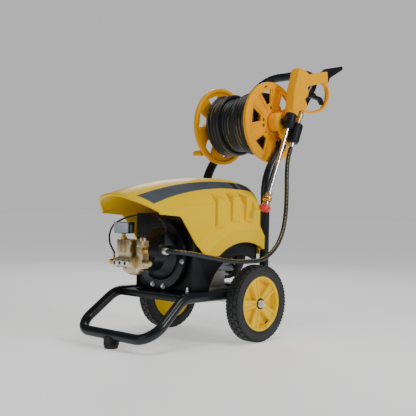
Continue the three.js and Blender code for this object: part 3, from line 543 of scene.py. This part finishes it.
def make_wheel(side, tag):
    body = "wheel_" + tag
    centre = mm(side * WHEEL.x, 0, WHEEL_R)
    out = Vector((side, 0, 0))
    tyre = Shape().lathe([
        (90.4, -21.5), (94, -24.4), (101, -26), (109, -26.4), (116, -25), (121, -22), (123.4, -17),
        (124, -9), (124, 9), (123.4, 17), (121, 22), (116, 25), (109, 26.4), (101, 26), (94, 24.4),
        (90.4, 21.5)], centre, out, 96)
    for r in (97, 113):
        for h in (-1, 1):
            tyre.lathe([(r - 1.2, h * 24.5), (r, h * 26.6), (r + 1.2, h * 24.5)], centre, out, 96)
    blocks = 34
    for row, (h0, h1) in enumerate(((-19.5, -8), (-6, 6), (8, 19.5))):
        for k in range(blocks):
            a = 2 * math.pi * (k + 0.5 * (row % 2)) / blocks
            radial = Vector((0, -math.sin(a), math.cos(a)))
            along = Vector((0, -math.cos(a), -math.sin(a)))
            width = (h1 - h0) / 2
            tyre.block(centre + radial * 0.1248 + out * (h0 + width) / 1000,
                       (along, out, radial), (18.5, 2 * width, 4.0), 0.8)
    for k in range(blocks * 2):
        a = 2 * math.pi * k / (blocks * 2)
        radial = Vector((0, -math.sin(a), math.cos(a)))
        along = Vector((0, -math.cos(a), -math.sin(a)))
        for h in (-1, 1):
            tyre.block(centre + radial * 0.1195 + out * h * 0.0225, (along, out, radial),
                       (6.0, 4.4, 8.0), 0.7)
    tyre.piece("tyre_%s_form" % tag, body, "tyre_rubber", stands_for=("tyre_" + tag,))

    rim = Shape().lathe([
        (78, -19), (84, -21.5), (89.8, -21.8), (90, -20), (90, 20), (89.6, 21.8), (86, 21.8),
        (82.5, 20.5), (80.5, 17), (79.5, 10), (78.5, 2), (77.5, 0), (77, -8)], centre, out, 96)
    rim.lathe([(10.4, -19), (23, -19), (24, -18), (24, 12), (22.5, 14), (21.5, 17), (10.4, 17)],
              centre, out, 48)
    rim.lathe([(20, -12), (80, -12), (80, -3), (60, -1), (20, -1)], centre, out, 96)
    for i in range(5):
        a = 2 * math.pi * i / 5 + SPOKE_TURN
        along = Vector((0, -math.sin(a), math.cos(a)))
        across = Vector((0, math.cos(a), math.sin(a)))

        def point(s, t, h):
            return centre + (along * s + across * t + out * h) / 1000

        def bar(t0, t1, wide0, wide1, h0, h1):
            corners = []
            for s, t, wide in ((17, t0, wide0), (79.5, t1, wide1)):
                for dt, h in ((-1, h0), (1, h0), (0.6, h1), (-0.6, h1)):
                    corners.append(point(s, t + dt * wide / 2, h))
            rim.add(corners, [(0, 1, 2, 3), (7, 6, 5, 4), (0, 4, 5, 1), (1, 5, 6, 2), (2, 6, 7, 3),
                              (3, 7, 4, 0)])
        bar(0, 0, 26, 44, -4, 10.5)
        bar(-7, -14, 9, 12, 9, 15)
        bar(7, 14, 9, 12, 9, 15)
    rim.piece("rim_%s_form" % tag, body, "yellow_plastic", smooth=32, stands_for=("rim_" + tag,))
    Shape().lathe([(13.4, 16), (18.6, 16), (18.6, 17.4), (17.8, 18.4), (13.4, 18.4)], centre, out,
                  48).piece("hub_ring_" + tag, body, "black_plastic")
    valve = centre + (Vector((0, 0.42, -0.9)).normalized() * 74 + out * 14) / 1000
    Shape().rod(3, 2.4, 16, valve, (out * 0.8 + Vector((0, -0.3, 0.6))), 16).piece(
        "tyre_valve_" + tag, body, "black_plastic")
    eased("axle_nut_" + tag, 0.9, look="zinc_steel")


# ------------------------------------------------------------------ fasteners
CORNER_PER_FLAT = 0.577      # corner radius of a hexagon one unit wide over its flats


def hex_bolt(shape, at, axis, across, washer, tall):
    """Washer and hexagonal head; across is the head's width over its flats."""
    shape.lathe([(0.001, 0), (washer, 0), (washer, 1.2), (washer - 0.4, 1.6), (0.001, 1.6)], at,
                axis, 28)
    top = Vector(at) + Vector(axis).normalized() * 0.0014
    corner = across * CORNER_PER_FLAT
    shape.rod(corner, corner, tall, top, axis, 6, 0.5)


def socket_screw(name, at, axis, radius):
    Shape().lathe([
        (0.001, 0), (radius, 0), (radius, radius * 0.8), (radius * 0.86, radius),
        (radius * 0.55, radius), (radius * 0.5, radius * 0.45), (0.001, radius * 0.45)],
        at, axis, 24).piece(name, "machine", "zinc_steel")


# ------------------------------------------------------------------ motor and pump
MOTOR_Z = 284                # centre line
MOTOR_FACE = -240            # front of the flange


def make_motor():
    eased("motor_flange", 1.6, sharp=24)
    eased("motor_housing", 1.2)
    eased("motor_shaft", 0.6)
    eased("cooling_fan", 0.6)
    eased("fan_cowl", 1.0)
    front = mm(0, MOTOR_FACE, MOTOR_Z)
    rings = Shape()
    for r in (70, 90, 102):
        rings.lathe([(r - 2.2, 0.5), (r - 1.4, -2.2), (r + 1.4, -2.2), (r + 2.2, 0.5)],
                    front + Vector((0, (2 - 13 * (r < 84)) / 1000, 0)), Y, 72)
    rings.piece("motor_flange_rings", "machine", "black_steel")
    bolts = Shape()
    for a in (-100, -162, 170, 100):
        x, z = 104 * math.sin(math.radians(a)), MOTOR_Z + 104 * math.cos(math.radians(a))
        hex_bolt(bolts, mm(x, MOTOR_FACE, z), -Y, 10, 8.2, 6)
    bolts.piece("motor_flange_bolts", "machine", "zinc_steel")
    mounts = Shape()
    for side in (-1, 1):
        for y in (-168, -34):
            hex_bolt(mounts, mm(side * 98, y, 172), Z, 10, 9, 6)
    hex_bolt(mounts, mm(132, -244, 164), Z, 9, 10, 9)
    mounts.rod(3.6, 3.2, 14, mm(132, -244, 172), Z, 16)
    mounts.piece("motor_foot_bolts", "machine", "zinc_steel")


PUMP_FACE = -345             # front of the crankcase
CRANKCASE = (-22, 266)       # its middle, across and up


def make_pump():
    for name, ease in (("pump_crankcase", 1.5), ("pump_head", 1.2), ("unloader_body", 1.2),
                       ("inlet_fitting", 0.5), ("outlet_nipple", 0.6), ("gauge_stem", 0.5)):
        eased(name, ease, sharp=24)
    dark = Shape()
    for cap in ("valve_cap_left", "valve_cap_mid", "valve_cap_right"):
        low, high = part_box(cap)
        back = Vector(((low.x + high.x) / 2, high.y, (low.z + high.z) / 2))
        Shape().lathe([(0.001, 0), (9.4, 0), (9.4, 3.4), (8.6, 4.4), (8.6, 7.2), (7.9, 8.3),
                       (5.6, 8.3), (5.2, 7.8), (5.2, 5.0), (0.001, 5.0)], back, -Y, 40).piece(
            cap + "_form", "machine", "zinc_steel", stands_for=(cap,))
        # A thin near-black hexagon in each cap's socket recess is painted shade for the hole, not a
        # separate part.
        dark.lathe([(0.001, 5.2), (5.1, 5.2), (5.1, 6.4), (0.001, 6.4)], back, -Y, 6)
    dark.piece("valve_cap_socket_shade", "machine", "painted_hole_shade", slot="black_plastic")
    for i in range(4):
        a = math.radians(45 + 90 * i)
        socket_screw("crankcase_screw_%d" % (i + 1),
                     mm(CRANKCASE[0] + 40 * math.cos(a), PUMP_FACE,
                        CRANKCASE[1] + 40 * math.sin(a)), -Y, 5.6)
    for i, (x, z) in enumerate(((30, 293), (-33, 284), (32, 306))):
        socket_screw("head_screw_%d" % (i + 1), mm(x, -352, z), -Y, 5.4)
    for i, (x, z) in enumerate(((52, 316), (52, 291))):
        socket_screw("unloader_screw_%d" % (i + 1), mm(x, -377, z), -Y, 3.6)
    ribs = Shape()
    for k in range(6):
        ribs.block(mm(-28 + 9.4 * k, -392.4, 315), (X, Y, Z), (3.2, 2.4, 34), 0.7)
    for x in (-34, 36):
        ribs.lathe([(15.8, -2), (17.4, -1.2), (17.4, 1.2), (15.8, 2)], mm(x, -385, 262), X, 32)
    ribs.piece("pump_head_ribs", "machine", "brass")
    pins = Shape()
    for x in (-25, 0, 25):
        pins.rod(5.5, 5.5, 3, mm(x + 1, -378, 334), Z, 6, 0.5)
    pins.piece("pump_head_plugs", "machine", "gold_brass")


def ribbed_barrel(name, node_name, at, axis, radius, length, ribs=22):
    """A hand nut or knob: a smooth core with rounded ribs along it."""
    eased(node_name, 0.8, sharp=20)
    grip = Shape()
    axis = Vector(axis).normalized()
    across = axis.orthogonal().normalized()
    other = axis.cross(across)
    for k in range(ribs):
        a = 2 * math.pi * k / ribs
        arm = across * math.cos(a) + other * math.sin(a)
        side = axis.cross(arm)
        grip.block(Vector(at) + arm * (radius - 0.1) / 1000 + axis * length / 2000,
                   (side, arm, axis), (2.6, 1.8, length), 0.6)
    grip.piece(name, BODY_OF[node_name], "black_plastic")


def make_controls():
    ribbed_barrel("unloader_knob_ribs", "unloader_knob", mm(52, -362, 350), Z, 18.6, 62, 24)
    ribbed_barrel("outlet_coupler_ribs", "outlet_coupler", mm(100, -361, 304), X, 20.4, 38)
    inlet = Vector((GUN_X, 234, 781))
    ribbed_barrel("gun_coupler_ribs", "gun_coupler", mm(*(inlet + DOWN * 52)), DOWN, 20.4, 58)
    for name in ("switch_box", "power_switch", "bulkhead", "side_panel_right", "side_panel_left"):
        eased(name, 1.0)
    screws = Shape()
    for x in (-44, 44):
        for z in (384, 458):
            screws.lathe([(0.001, 0), (3.4, 0), (3.4, 0.8), (2.4, 1.5), (0.001, 1.5)],
                         mm(x, 151.3, z), Y, 20)
    screws.piece("switch_box_screws", "machine", "zinc_steel")
    marks = Shape()
    marks.block(mm(0, 151.4, 452), (X, Y, Z), (2.2, 0.6, 8), 0.1)
    marks.lathe([(3.0, -0.3), (4.4, -0.3), (4.4, 0.3), (3.0, 0.3)], mm(0, 151.4, 392), Y, 28)
    marks.piece("switch_marks", "machine", "white_dial", slot="black_plastic")


DIAL_Z = 374.4               # underside of the dial plate


def make_gauge():
    eased("gauge_case", 0.6, sharp=24, look="gauge_metal")
    eased("gauge_pointer", 0.2)
    eased("gauge_lens", 0.4)
    case = middle("gauge_case")
    floor = machine(case)
    at = mm(floor.x, floor.y, DIAL_Z)
    Shape().lathe([(0.001, 0), (28.4, 0), (28.4, 0.5), (0.001, 0.5)], at, Z, 64).piece(
        "gauge_dial", "machine", "white_dial", slot="chrome")
    ticks = Shape()
    for k in range(28):
        a = math.radians(-135 + 10 * k)
        arm = Vector((math.sin(a), math.cos(a), 0))
        long = 6 if k % 3 == 0 else 3.4
        ticks.block(at + arm * (26 - long / 2) / 1000 + Z * 0.0007, (arm.cross(Z), arm, Z),
                    (0.9 if k % 3 == 0 else 0.5, long, 0.3), 0)
    ticks.piece("gauge_ticks", "machine", "dark_label", slot="chrome")


# ------------------------------------------------------------------ hood
HOOD_STATIONS = [
    # distance along Y, height of the crown, height of the side crease
    (-470, 470, 401), (-366, 498, 424), (-308, 511, 438), (-240, 524, 448), (-150, 535, 455),
    (-50, 541, 455), (60, 539, 443), (140, 522, 436),
]
HOOD_HALF = 142
CROWN_POWER = 2.3            # how square the rounded crown is


def hood_heights(y):
    """Crown and crease heights at a place along the hood, smooth between the stations."""
    last = len(HOOD_STATIONS) - 1
    i = next((k for k in range(last) if y <= HOOD_STATIONS[k + 1][0]), last - 1)
    a, b = HOOD_STATIONS[i], HOOD_STATIONS[i + 1]
    before, after = HOOD_STATIONS[max(i - 1, 0)], HOOD_STATIONS[min(i + 2, last)]
    span = b[0] - a[0]
    t = (y - a[0]) / span
    heights = []
    for c in (1, 2):
        m0 = (b[c] - before[c]) / (b[0] - before[0]) * span
        m1 = (after[c] - a[c]) / (after[0] - a[0]) * span
        heights.append((2 * t ** 3 - 3 * t * t + 1) * a[c] + (t ** 3 - 2 * t * t + t) * m0
                       + (3 * t * t - 2 * t ** 3) * b[c] + (t ** 3 - t * t) * m1)
    return heights


def hood_top(x, y):
    crown, crease = hood_heights(y)
    return crease + (crown - crease) * (1 - min(1, abs(x) / HOOD_HALF) ** CROWN_POWER)


def flat_top(x, y):
    """The faceted crown of the CAD solid, which the fine surface replaces."""
    marks = [0, 0.25, 0.48, 0.63, 0.775, 0.9, 1]
    last = len(HOOD_STATIONS) - 1
    i = next((k for k in range(last) if y <= HOOD_STATIONS[k + 1][0]), last - 1)
    a, b = HOOD_STATIONS[i], HOOD_STATIONS[i + 1]
    t = (y - a[0]) / (b[0] - a[0])
    crown, crease = a[1] + (b[1] - a[1]) * t, a[2] + (b[2] - a[2]) * t
    u = min(1, abs(x) / HOOD_HALF)
    k = next(j for j in range(6) if u <= marks[j + 1])
    s = (u - marks[k]) / (marks[k + 1] - marks[k])
    f = [1 - m ** CROWN_POWER for m in marks[k:k + 2]]
    return crease + (crown - crease) * (f[0] + (f[1] - f[0]) * s)


LONG_EDGE = 0.014            # m, longer edges of the crown are cut
NEAR_CROWN = 1.2             # mm, points this close to the flat crown belong to it


def fine_crown(shaped):
    """Cuts the long faces of the crown and lifts their points onto the smooth surface."""
    for _ in range(2):
        long_edges = [e for e in shaped.edges if e.calc_length() > LONG_EDGE]
        bmesh.ops.subdivide_edges(shaped, edges=long_edges, cuts=1)
        bmesh.ops.triangulate(shaped, faces=[f for f in shaped.faces if len(f.verts) > 4])
    for v in shaped.verts:
        x, y, z = machine(v.co)
        if abs(x) > HOOD_HALF - 1 or y < HOOD_STATIONS[0][0] or y > HOOD_STATIONS[-1][0]:
            continue
        old, new = flat_top(x, y), hood_top(x, y)
        if abs(z - old) < NEAR_CROWN:
            v.co.z += (new - old) / 1000


def make_hood():
    eased("hood", 1.6, sharp=28, change=fine_crown)
    nose = [(142, -366), (125, -388), (100, -414), (70, -435), (35, -444), (0, -446)]
    plan = nose + [(-x, y) for x, y in reversed(nose[:-1])]
    ground = smooth_path([(x, y, 0) for x, y in plan], 6)
    edge = []
    for p in ground:
        x, y, _ = machine(p)
        edge.append(mm(x * 0.985, y + 2.5, hood_top(min(141, abs(x)), y) - 3.6))
    low_ends = [mm(side * 139.5, -362, 414) for side in (1, -1)]
    edge = [low_ends[0]] + edge + [low_ends[1]]
    Shape().sweep(edge, 5.0, sides=16, up=Z, flat=0.8).piece(
        "hood_lip", "machine", "hood_lip", slot="yellow_plastic")

    def band(name, side, y0, y1, slant, look):
        """Thin label on the slope between two lines that draw together towards the back."""
        verts, faces = [], []
        across, along = 8, max(4, int((y1 - y0) / 9))
        for layer in (0.9, -0.6):
            for i in range(along + 1):
                for k in range(across + 1):
                    u = k / across
                    y = y0 + slant * u * (1 - i / along) + (y1 - y0) * i / along
                    t = (y + 410) / 515
                    inner = 75 - 15 * t
                    outer = 121 - 44 * t + 15 * t * t
                    x = inner + (outer - inner) * u
                    verts.append(mm(side * x, y, hood_top(x, y) + layer))
        size = (along + 1) * (across + 1)
        for i in range(along):
            for k in range(across):
                a = i * (across + 1) + k
                quad = (a, a + 1, a + across + 2, a + across + 1)
                faces += [quad, tuple(size + q for q in reversed(quad))]
        rim = ([k for k in range(across)]
               + [i * (across + 1) + across for i in range(along)]
               + [along * (across + 1) + across - k for k in range(across)]
               + [(along - i) * (across + 1) for i in range(along)])
        for a, b in zip(rim, rim[1:] + rim[:1]):
            faces.append((b, a, size + a, size + b))
        build(name, verts, faces, "machine", look)

    for side, tag in ((1, "right"), (-1, "left")):
        band("label_band_" + tag, side, -410, 8, 31, "slate_label")
        band("label_stripe_" + tag, side, 9, 30, 0, "dark_label")
        band("label_tail_" + tag, side, 31, 52, 0, "slate_label")
        band("label_end_" + tag, side, 53, 101, 0, "dark_label")
        screw = Shape()
        screw.lathe([(0.001, -1), (4.2, -1), (4.2, 1.0), (2.6, 2.0), (0.001, 2.0)],
                    mm(side * HOOD_HALF, 66, 412), X * side, 20)
        screw.piece("hood_screw_" + tag, "machine", "zinc_steel")
        seam = [mm(side * (HOOD_HALF + 0.2), y, hood_heights(y)[1] - 1.0)
                for y in range(-352, 92, 8)]
        Shape().sweep(seam, 1.3, sides=8).piece("hood_crease_" + tag, "machine", "hood_lip",
                                                slot="yellow_plastic")


# ------------------------------------------------------------------ reel
def make_reel():
    for side, tag in ((1, "right"), (-1, "left")):
        eased("reel_flange_" + tag, 1.6)
        eased("reel_bracket_" + tag, 1.6, sharp=26)
        out = X * side
        centre = mm(side * FLANGE_X, REEL.y, REEL.z)
        face = 7.2
        trim = Shape()
        trim.lathe([(133, 2), (137, 5.5), (141.6, 3.2), (141.8, -8), (139, -9), (131, -8.2)],
                   centre, out, 96)
        trim.lathe([(36, 5), (38, 9.5), (43, 9.5), (45, 5)], centre, out, 72)
        trim.lathe([(118, 5), (119.5, 8.6), (123, 8.6), (124.5, 5)], centre, out, 96)
        for i in range(6):
            a = math.radians(-22 + 60 * i)
            along = Vector((0, math.sin(a), math.cos(a)))
            across = Vector((0, math.cos(a), -math.sin(a)))
            corners = [(-12, 65), (12, 65), (31, 115), (-31, 115)]
            ring = []
            for k, (t, s) in enumerate(corners):
                t2, s2 = corners[(k + 1) % 4]
                for j in range(6):
                    f = j / 6
                    ring.append(centre + (across * (t + (t2 - t) * f) + along * (s + (s2 - s) * f)
                                          + out * face) / 1000)
            trim.sweep(ring, 2.6, sides=10, closed=True)
            mid = math.radians(8 + 60 * i)
            spoke = Vector((0, math.sin(mid), math.cos(mid)))
            wide = Vector((0, math.cos(mid), -math.sin(mid)))
            for lean in (-1, 1):
                ridge = (spoke + wide * lean * 0.1).normalized()
                trim.block(centre + (ridge * 82 + wide * lean * 9 + out * (face + 1)) / 1000,
                           (ridge.cross(out), ridge, out), (4.5, 70, 6.5), 1.6)
        trim.piece("reel_trim_" + tag, "reel", "amber_plastic")
        holes = Shape()
        for a in (-12, -84, -106, -130):
            spoke = Vector((0, math.sin(math.radians(a)), math.cos(math.radians(a))))
            wide = Vector((0, spoke.z, -spoke.y))
            holes.block(centre + (spoke * 52 + out * face) / 1000, (wide, spoke, out),
                        (10, 10, 0.8), 0.1)
        slot_at = Vector((0, math.sin(math.radians(-20)), math.cos(math.radians(-20))))
        holes.block(centre + (slot_at * 127.5 + out * face) / 1000,
                    (Vector((0, slot_at.z, -slot_at.y)), slot_at, out), (14, 5, 0.8), 0.1)
        holes.piece("reel_slots_" + tag, "reel", "shadow", slot="amber_plastic")
        bolts = Shape()
        for y, z in ((196, 748), (214, 684)):
            hex_bolt(bolts, mm(side * 171, y, z), out, 8, 6.5, 4)
        bolts.piece("bracket_bolts_" + tag, "machine", "zinc_steel")
    eased("reel_drum", 1.2)
    eased("crank_arm", 1.2)
    eased("crank_knob", 1.6, sharp=24)


def make_wound_hose():
    """Turns of one long hose in layers, the outer ones in two groups with a dip between."""
    outline = [(-110, 92), (-96, 118), (-60, 123), (-14, 100), (8, 100), (40, 115), (84, 115),
               (108, 92)]
    radius, pitch = 7.2, 15.0

    def reach(x):
        for (x0, r0), (x1, r1) in zip(outline, outline[1:]):
            if x0 <= x <= x1:
                return r0 + (r1 - r0) * (x - x0) / (x1 - x0)
        return 0

    steps = 40
    crossing = 16
    path, angle, layer = [], 0.0, 0
    level = 61.0
    last = None

    def turn_on(x, r):
        nonlocal angle, last
        path.append(mm(x, REEL.y + r * math.sin(angle), REEL.z + r * math.cos(angle)))
        angle += 2 * math.pi / steps
        last = (x, r)

    while level + radius < 124:
        fits = [x for x in range(-102, 102) if reach(x) >= level + radius]
        if not fits:
            break
        groups, start = [], fits[0]
        for a, b in zip(fits, fits[1:] + [None]):
            if b is None or b - a > 1:
                groups.append((start, a))
                start = b
        if layer % 2:
            groups = [(b, a) for a, b in reversed(groups)]
        for x0, x1 in groups:
            if last:
                from_x, from_r = last
                for k in range(1, crossing):
                    t = k / crossing
                    ease = t * t * (3 - 2 * t)
                    turn_on(from_x + (x0 - from_x) * ease, from_r + (level - from_r) * ease)
            turns = max(1, round(abs(x1 - x0) / pitch))
            for k in range(turns * steps):
                turn_on(x0 + (x1 - x0) * k / (turns * steps),
                        level + 0.6 * math.sin(angle * 0.37 + layer))
        level += 2 * radius + 0.2
        layer += 1
    Shape().sweep(path, radius, sides=14).piece(
        "wound_hose_form", "reel", "hose_rubber", stands_for=("wound_hose",))
    centre = mm(0, REEL.y, REEL.z)

    def outward(p):
        arm = p - centre
        arm.x = 0
        return (arm.normalized() + X * 0.25).normalized()

    outer = [p for p in path if math.hypot(p.y - centre.y, p.z - centre.z) > 0.086]
    shape_path = resample(outer, 4.5)
    runs, run = [], [shape_path[0]]
    for a, b in zip(shape_path, shape_path[1:]):
        if (b - a).length > 0.012:
            runs.append(run)
            run = []
        run.append(b)
    runs.append(run)
    for i, part in enumerate(runs):
        if len(part) > 8:
            printed_line("wound_hose_print_%d" % (i + 1), part, radius, outward, "reel", dash=60,
                         gap=150, skip=18 * i, width=0.8)


# ------------------------------------------------------------------ gun
def make_gun():
    outline = [(166, 776), (214, 785), (246, 790), (248, 810), (236, 828), (250, 838), (256, 852),
               (250, 870), (264, 878), (372, 904), (366, 944), (258, 918), (242, 926), (206, 934),
               (198, 926), (172, 850)]
    inside = [(166, 776), (214, 785), (246, 790), (248, 810), (237, 828), (237, 870), (250, 870),
              (264, 878), (372, 904), (366, 944), (258, 918), (242, 926), (206, 934), (198, 926),
              (172, 850)]
    shell = Shape()
    half, slot = 19, 8.5
    shell.moulding(outline, GUN_X + slot, GUN_X + half, 5)
    shell.moulding(outline, GUN_X - slot, GUN_X - half, 5)
    shell.moulding(inside, GUN_X - slot, GUN_X + slot, 0)
    shell.lathe([(0.001, -52.5), (20, -52.5), (22, -56), (22, -120), (20, -134), (14, -142),
                 (0.001, -144)], mm(*LANCE_TOP), DOWN, 48)
    guard = smooth_path([(GUN_X, y, z) for y, z in (
        (360, 902), (380, 893), (389.5, 871), (387.5, 849), (376, 826), (352, 805), (317, 793),
        (284, 788.5), (240, 790))], 5)
    shell.sweep(guard, 10, sides=20, flat=0.52, up=X)
    shell.piece("gun_body_form", "machine", "amber_plastic", smooth=34, stands_for=("gun_body",))
    for name, ease, sharp in (("grip_cap", 2.2, 30), ("trigger", 1.8, 30),
                              ("safety_latch", 0.6, 30), ("gun_collar", 1.0, 24),
                              ("quick_socket", 0.6, 24),
                              ("quick_sleeve", 0.7, 24), ("gun_inlet", 0.6, 24),
                              ("gun_clip", 1.0, 30)):
        eased(name, ease, sharp=sharp)
    eased("spray_nozzle", 0.8, sharp=24)
    Shape().lathe([(0.001, -85), (6.5, -85), (6.5, 245), (0.001, 245)], mm(*LANCE_TOP), DOWN,
                  48).piece("lance_form", "machine", "chrome", stands_for=("lance",))
    knurl = Shape()
    across = X
    other = DOWN.cross(X)
    for k in range(24):
        a = 2 * math.pi * k / 24
        arm = across * math.cos(a) + other * math.sin(a)
        knurl.block(mm(*(LANCE_TOP + DOWN * 267.5 + arm * 15.5)), (DOWN.cross(arm), arm, DOWN),
                    (1.6, 1.2, 7.5), 0.3)
    knurl.piece("quick_sleeve_knurl", "release_sleeve", "gold_brass")
    lobes = Shape()
    for k in range(8):
        a = 2 * math.pi * k / 8
        arm = across * math.cos(a) + other * math.sin(a)
        lobes.block(mm(*(LANCE_TOP + DOWN * 300 + arm * 18.4)), (DOWN.cross(arm), arm, DOWN),
                    (6.0, 3.4, 9), 1.2)
    lobes.piece("spray_nozzle_lobes", "nozzle", "red_plastic")
    screws = Shape()
    for y, z in ((206, 880), (186, 800), (256, 905), (352, 922)):
        screws.lathe([(0.001, -1), (4.0, -1), (4.0, 0.5), (3.2, 0.9), (1.6, 0.9), (1.4, 0.1),
                      (0.001, 0.1)], mm(GUN_X - half, y, z), -X, 24)
    screws.piece("gun_screws", "machine", "zinc_steel")


# ------------------------------------------------------------------ surroundings
def make_studio():
    ground = bpy.data.meshes.new("floor")
    ground.from_pydata([(-60, -60, 0), (60, -60, 0), (60, 60, 0), (-60, 60, 0)], [], [(0, 1, 2, 3)])
    pale = finish("pale_floor", (0.9, 0.9, 0.9), 0.6, vary=0.01, bump=0.02)
    glow = pale.node_tree.nodes["Principled BSDF"]
    glow.inputs["Emission Color"].default_value = (1, 1, 1, 1)
    glow.inputs["Emission Strength"].default_value = 0.5
    ground.materials.append(pale)
    floor = bpy.data.objects.new("floor", ground)
    bpy.context.scene.collection.objects.link(floor)
    world = bpy.data.worlds.new("studio")
    bpy.context.scene.world = world
    world.use_nodes = True
    tree = world.node_tree
    soft = tree.nodes["Background"]
    soft.inputs[0].default_value = (1, 0.99, 0.96, 1)
    soft.inputs[1].default_value = 0.11
    backdrop = node(tree, "ShaderNodeBackground")
    backdrop.inputs[0].default_value = (1, 1, 1, 1)
    backdrop.inputs[1].default_value = 0.58
    rays = node(tree, "ShaderNodeLightPath")
    choice = node(tree, "ShaderNodeMixShader")
    link(tree, rays.outputs["Is Camera Ray"], choice.inputs[0])
    link(tree, soft.outputs[0], choice.inputs[1])
    link(tree, backdrop.outputs[0], choice.inputs[2])
    link(tree, choice.outputs[0], tree.nodes["World Output"].inputs[0])
    for name, place, size, power in (
            ("key", (3.1, 0.5, 1.9), 0.7, 46), ("front", (-0.4, -3.0, 1.3), 1.0, 8),
            ("top", (0.7, -0.2, 3.2), 0.9, 34), ("rim", (-2.2, 2.0, 2.0), 1.2, 20)):
        data = bpy.data.lights.new(name, "AREA")
        data.size = size
        data.energy = power
        lamp = bpy.data.objects.new(name, data)
        lamp.location = place
        aim = Vector((0, 0, 0.45)) - Vector(place)
        lamp.rotation_euler = aim.to_track_quat("-Z", "Y").to_euler()
        bpy.context.scene.collection.objects.link(lamp)


make_frame()
make_wheel(1, "right")
make_wheel(-1, "left")
eased("axle", 0.6)
make_motor()
make_pump()
make_controls()
make_gauge()
make_hood()
make_reel()
make_wound_hose()
make_gun()
make_studio()
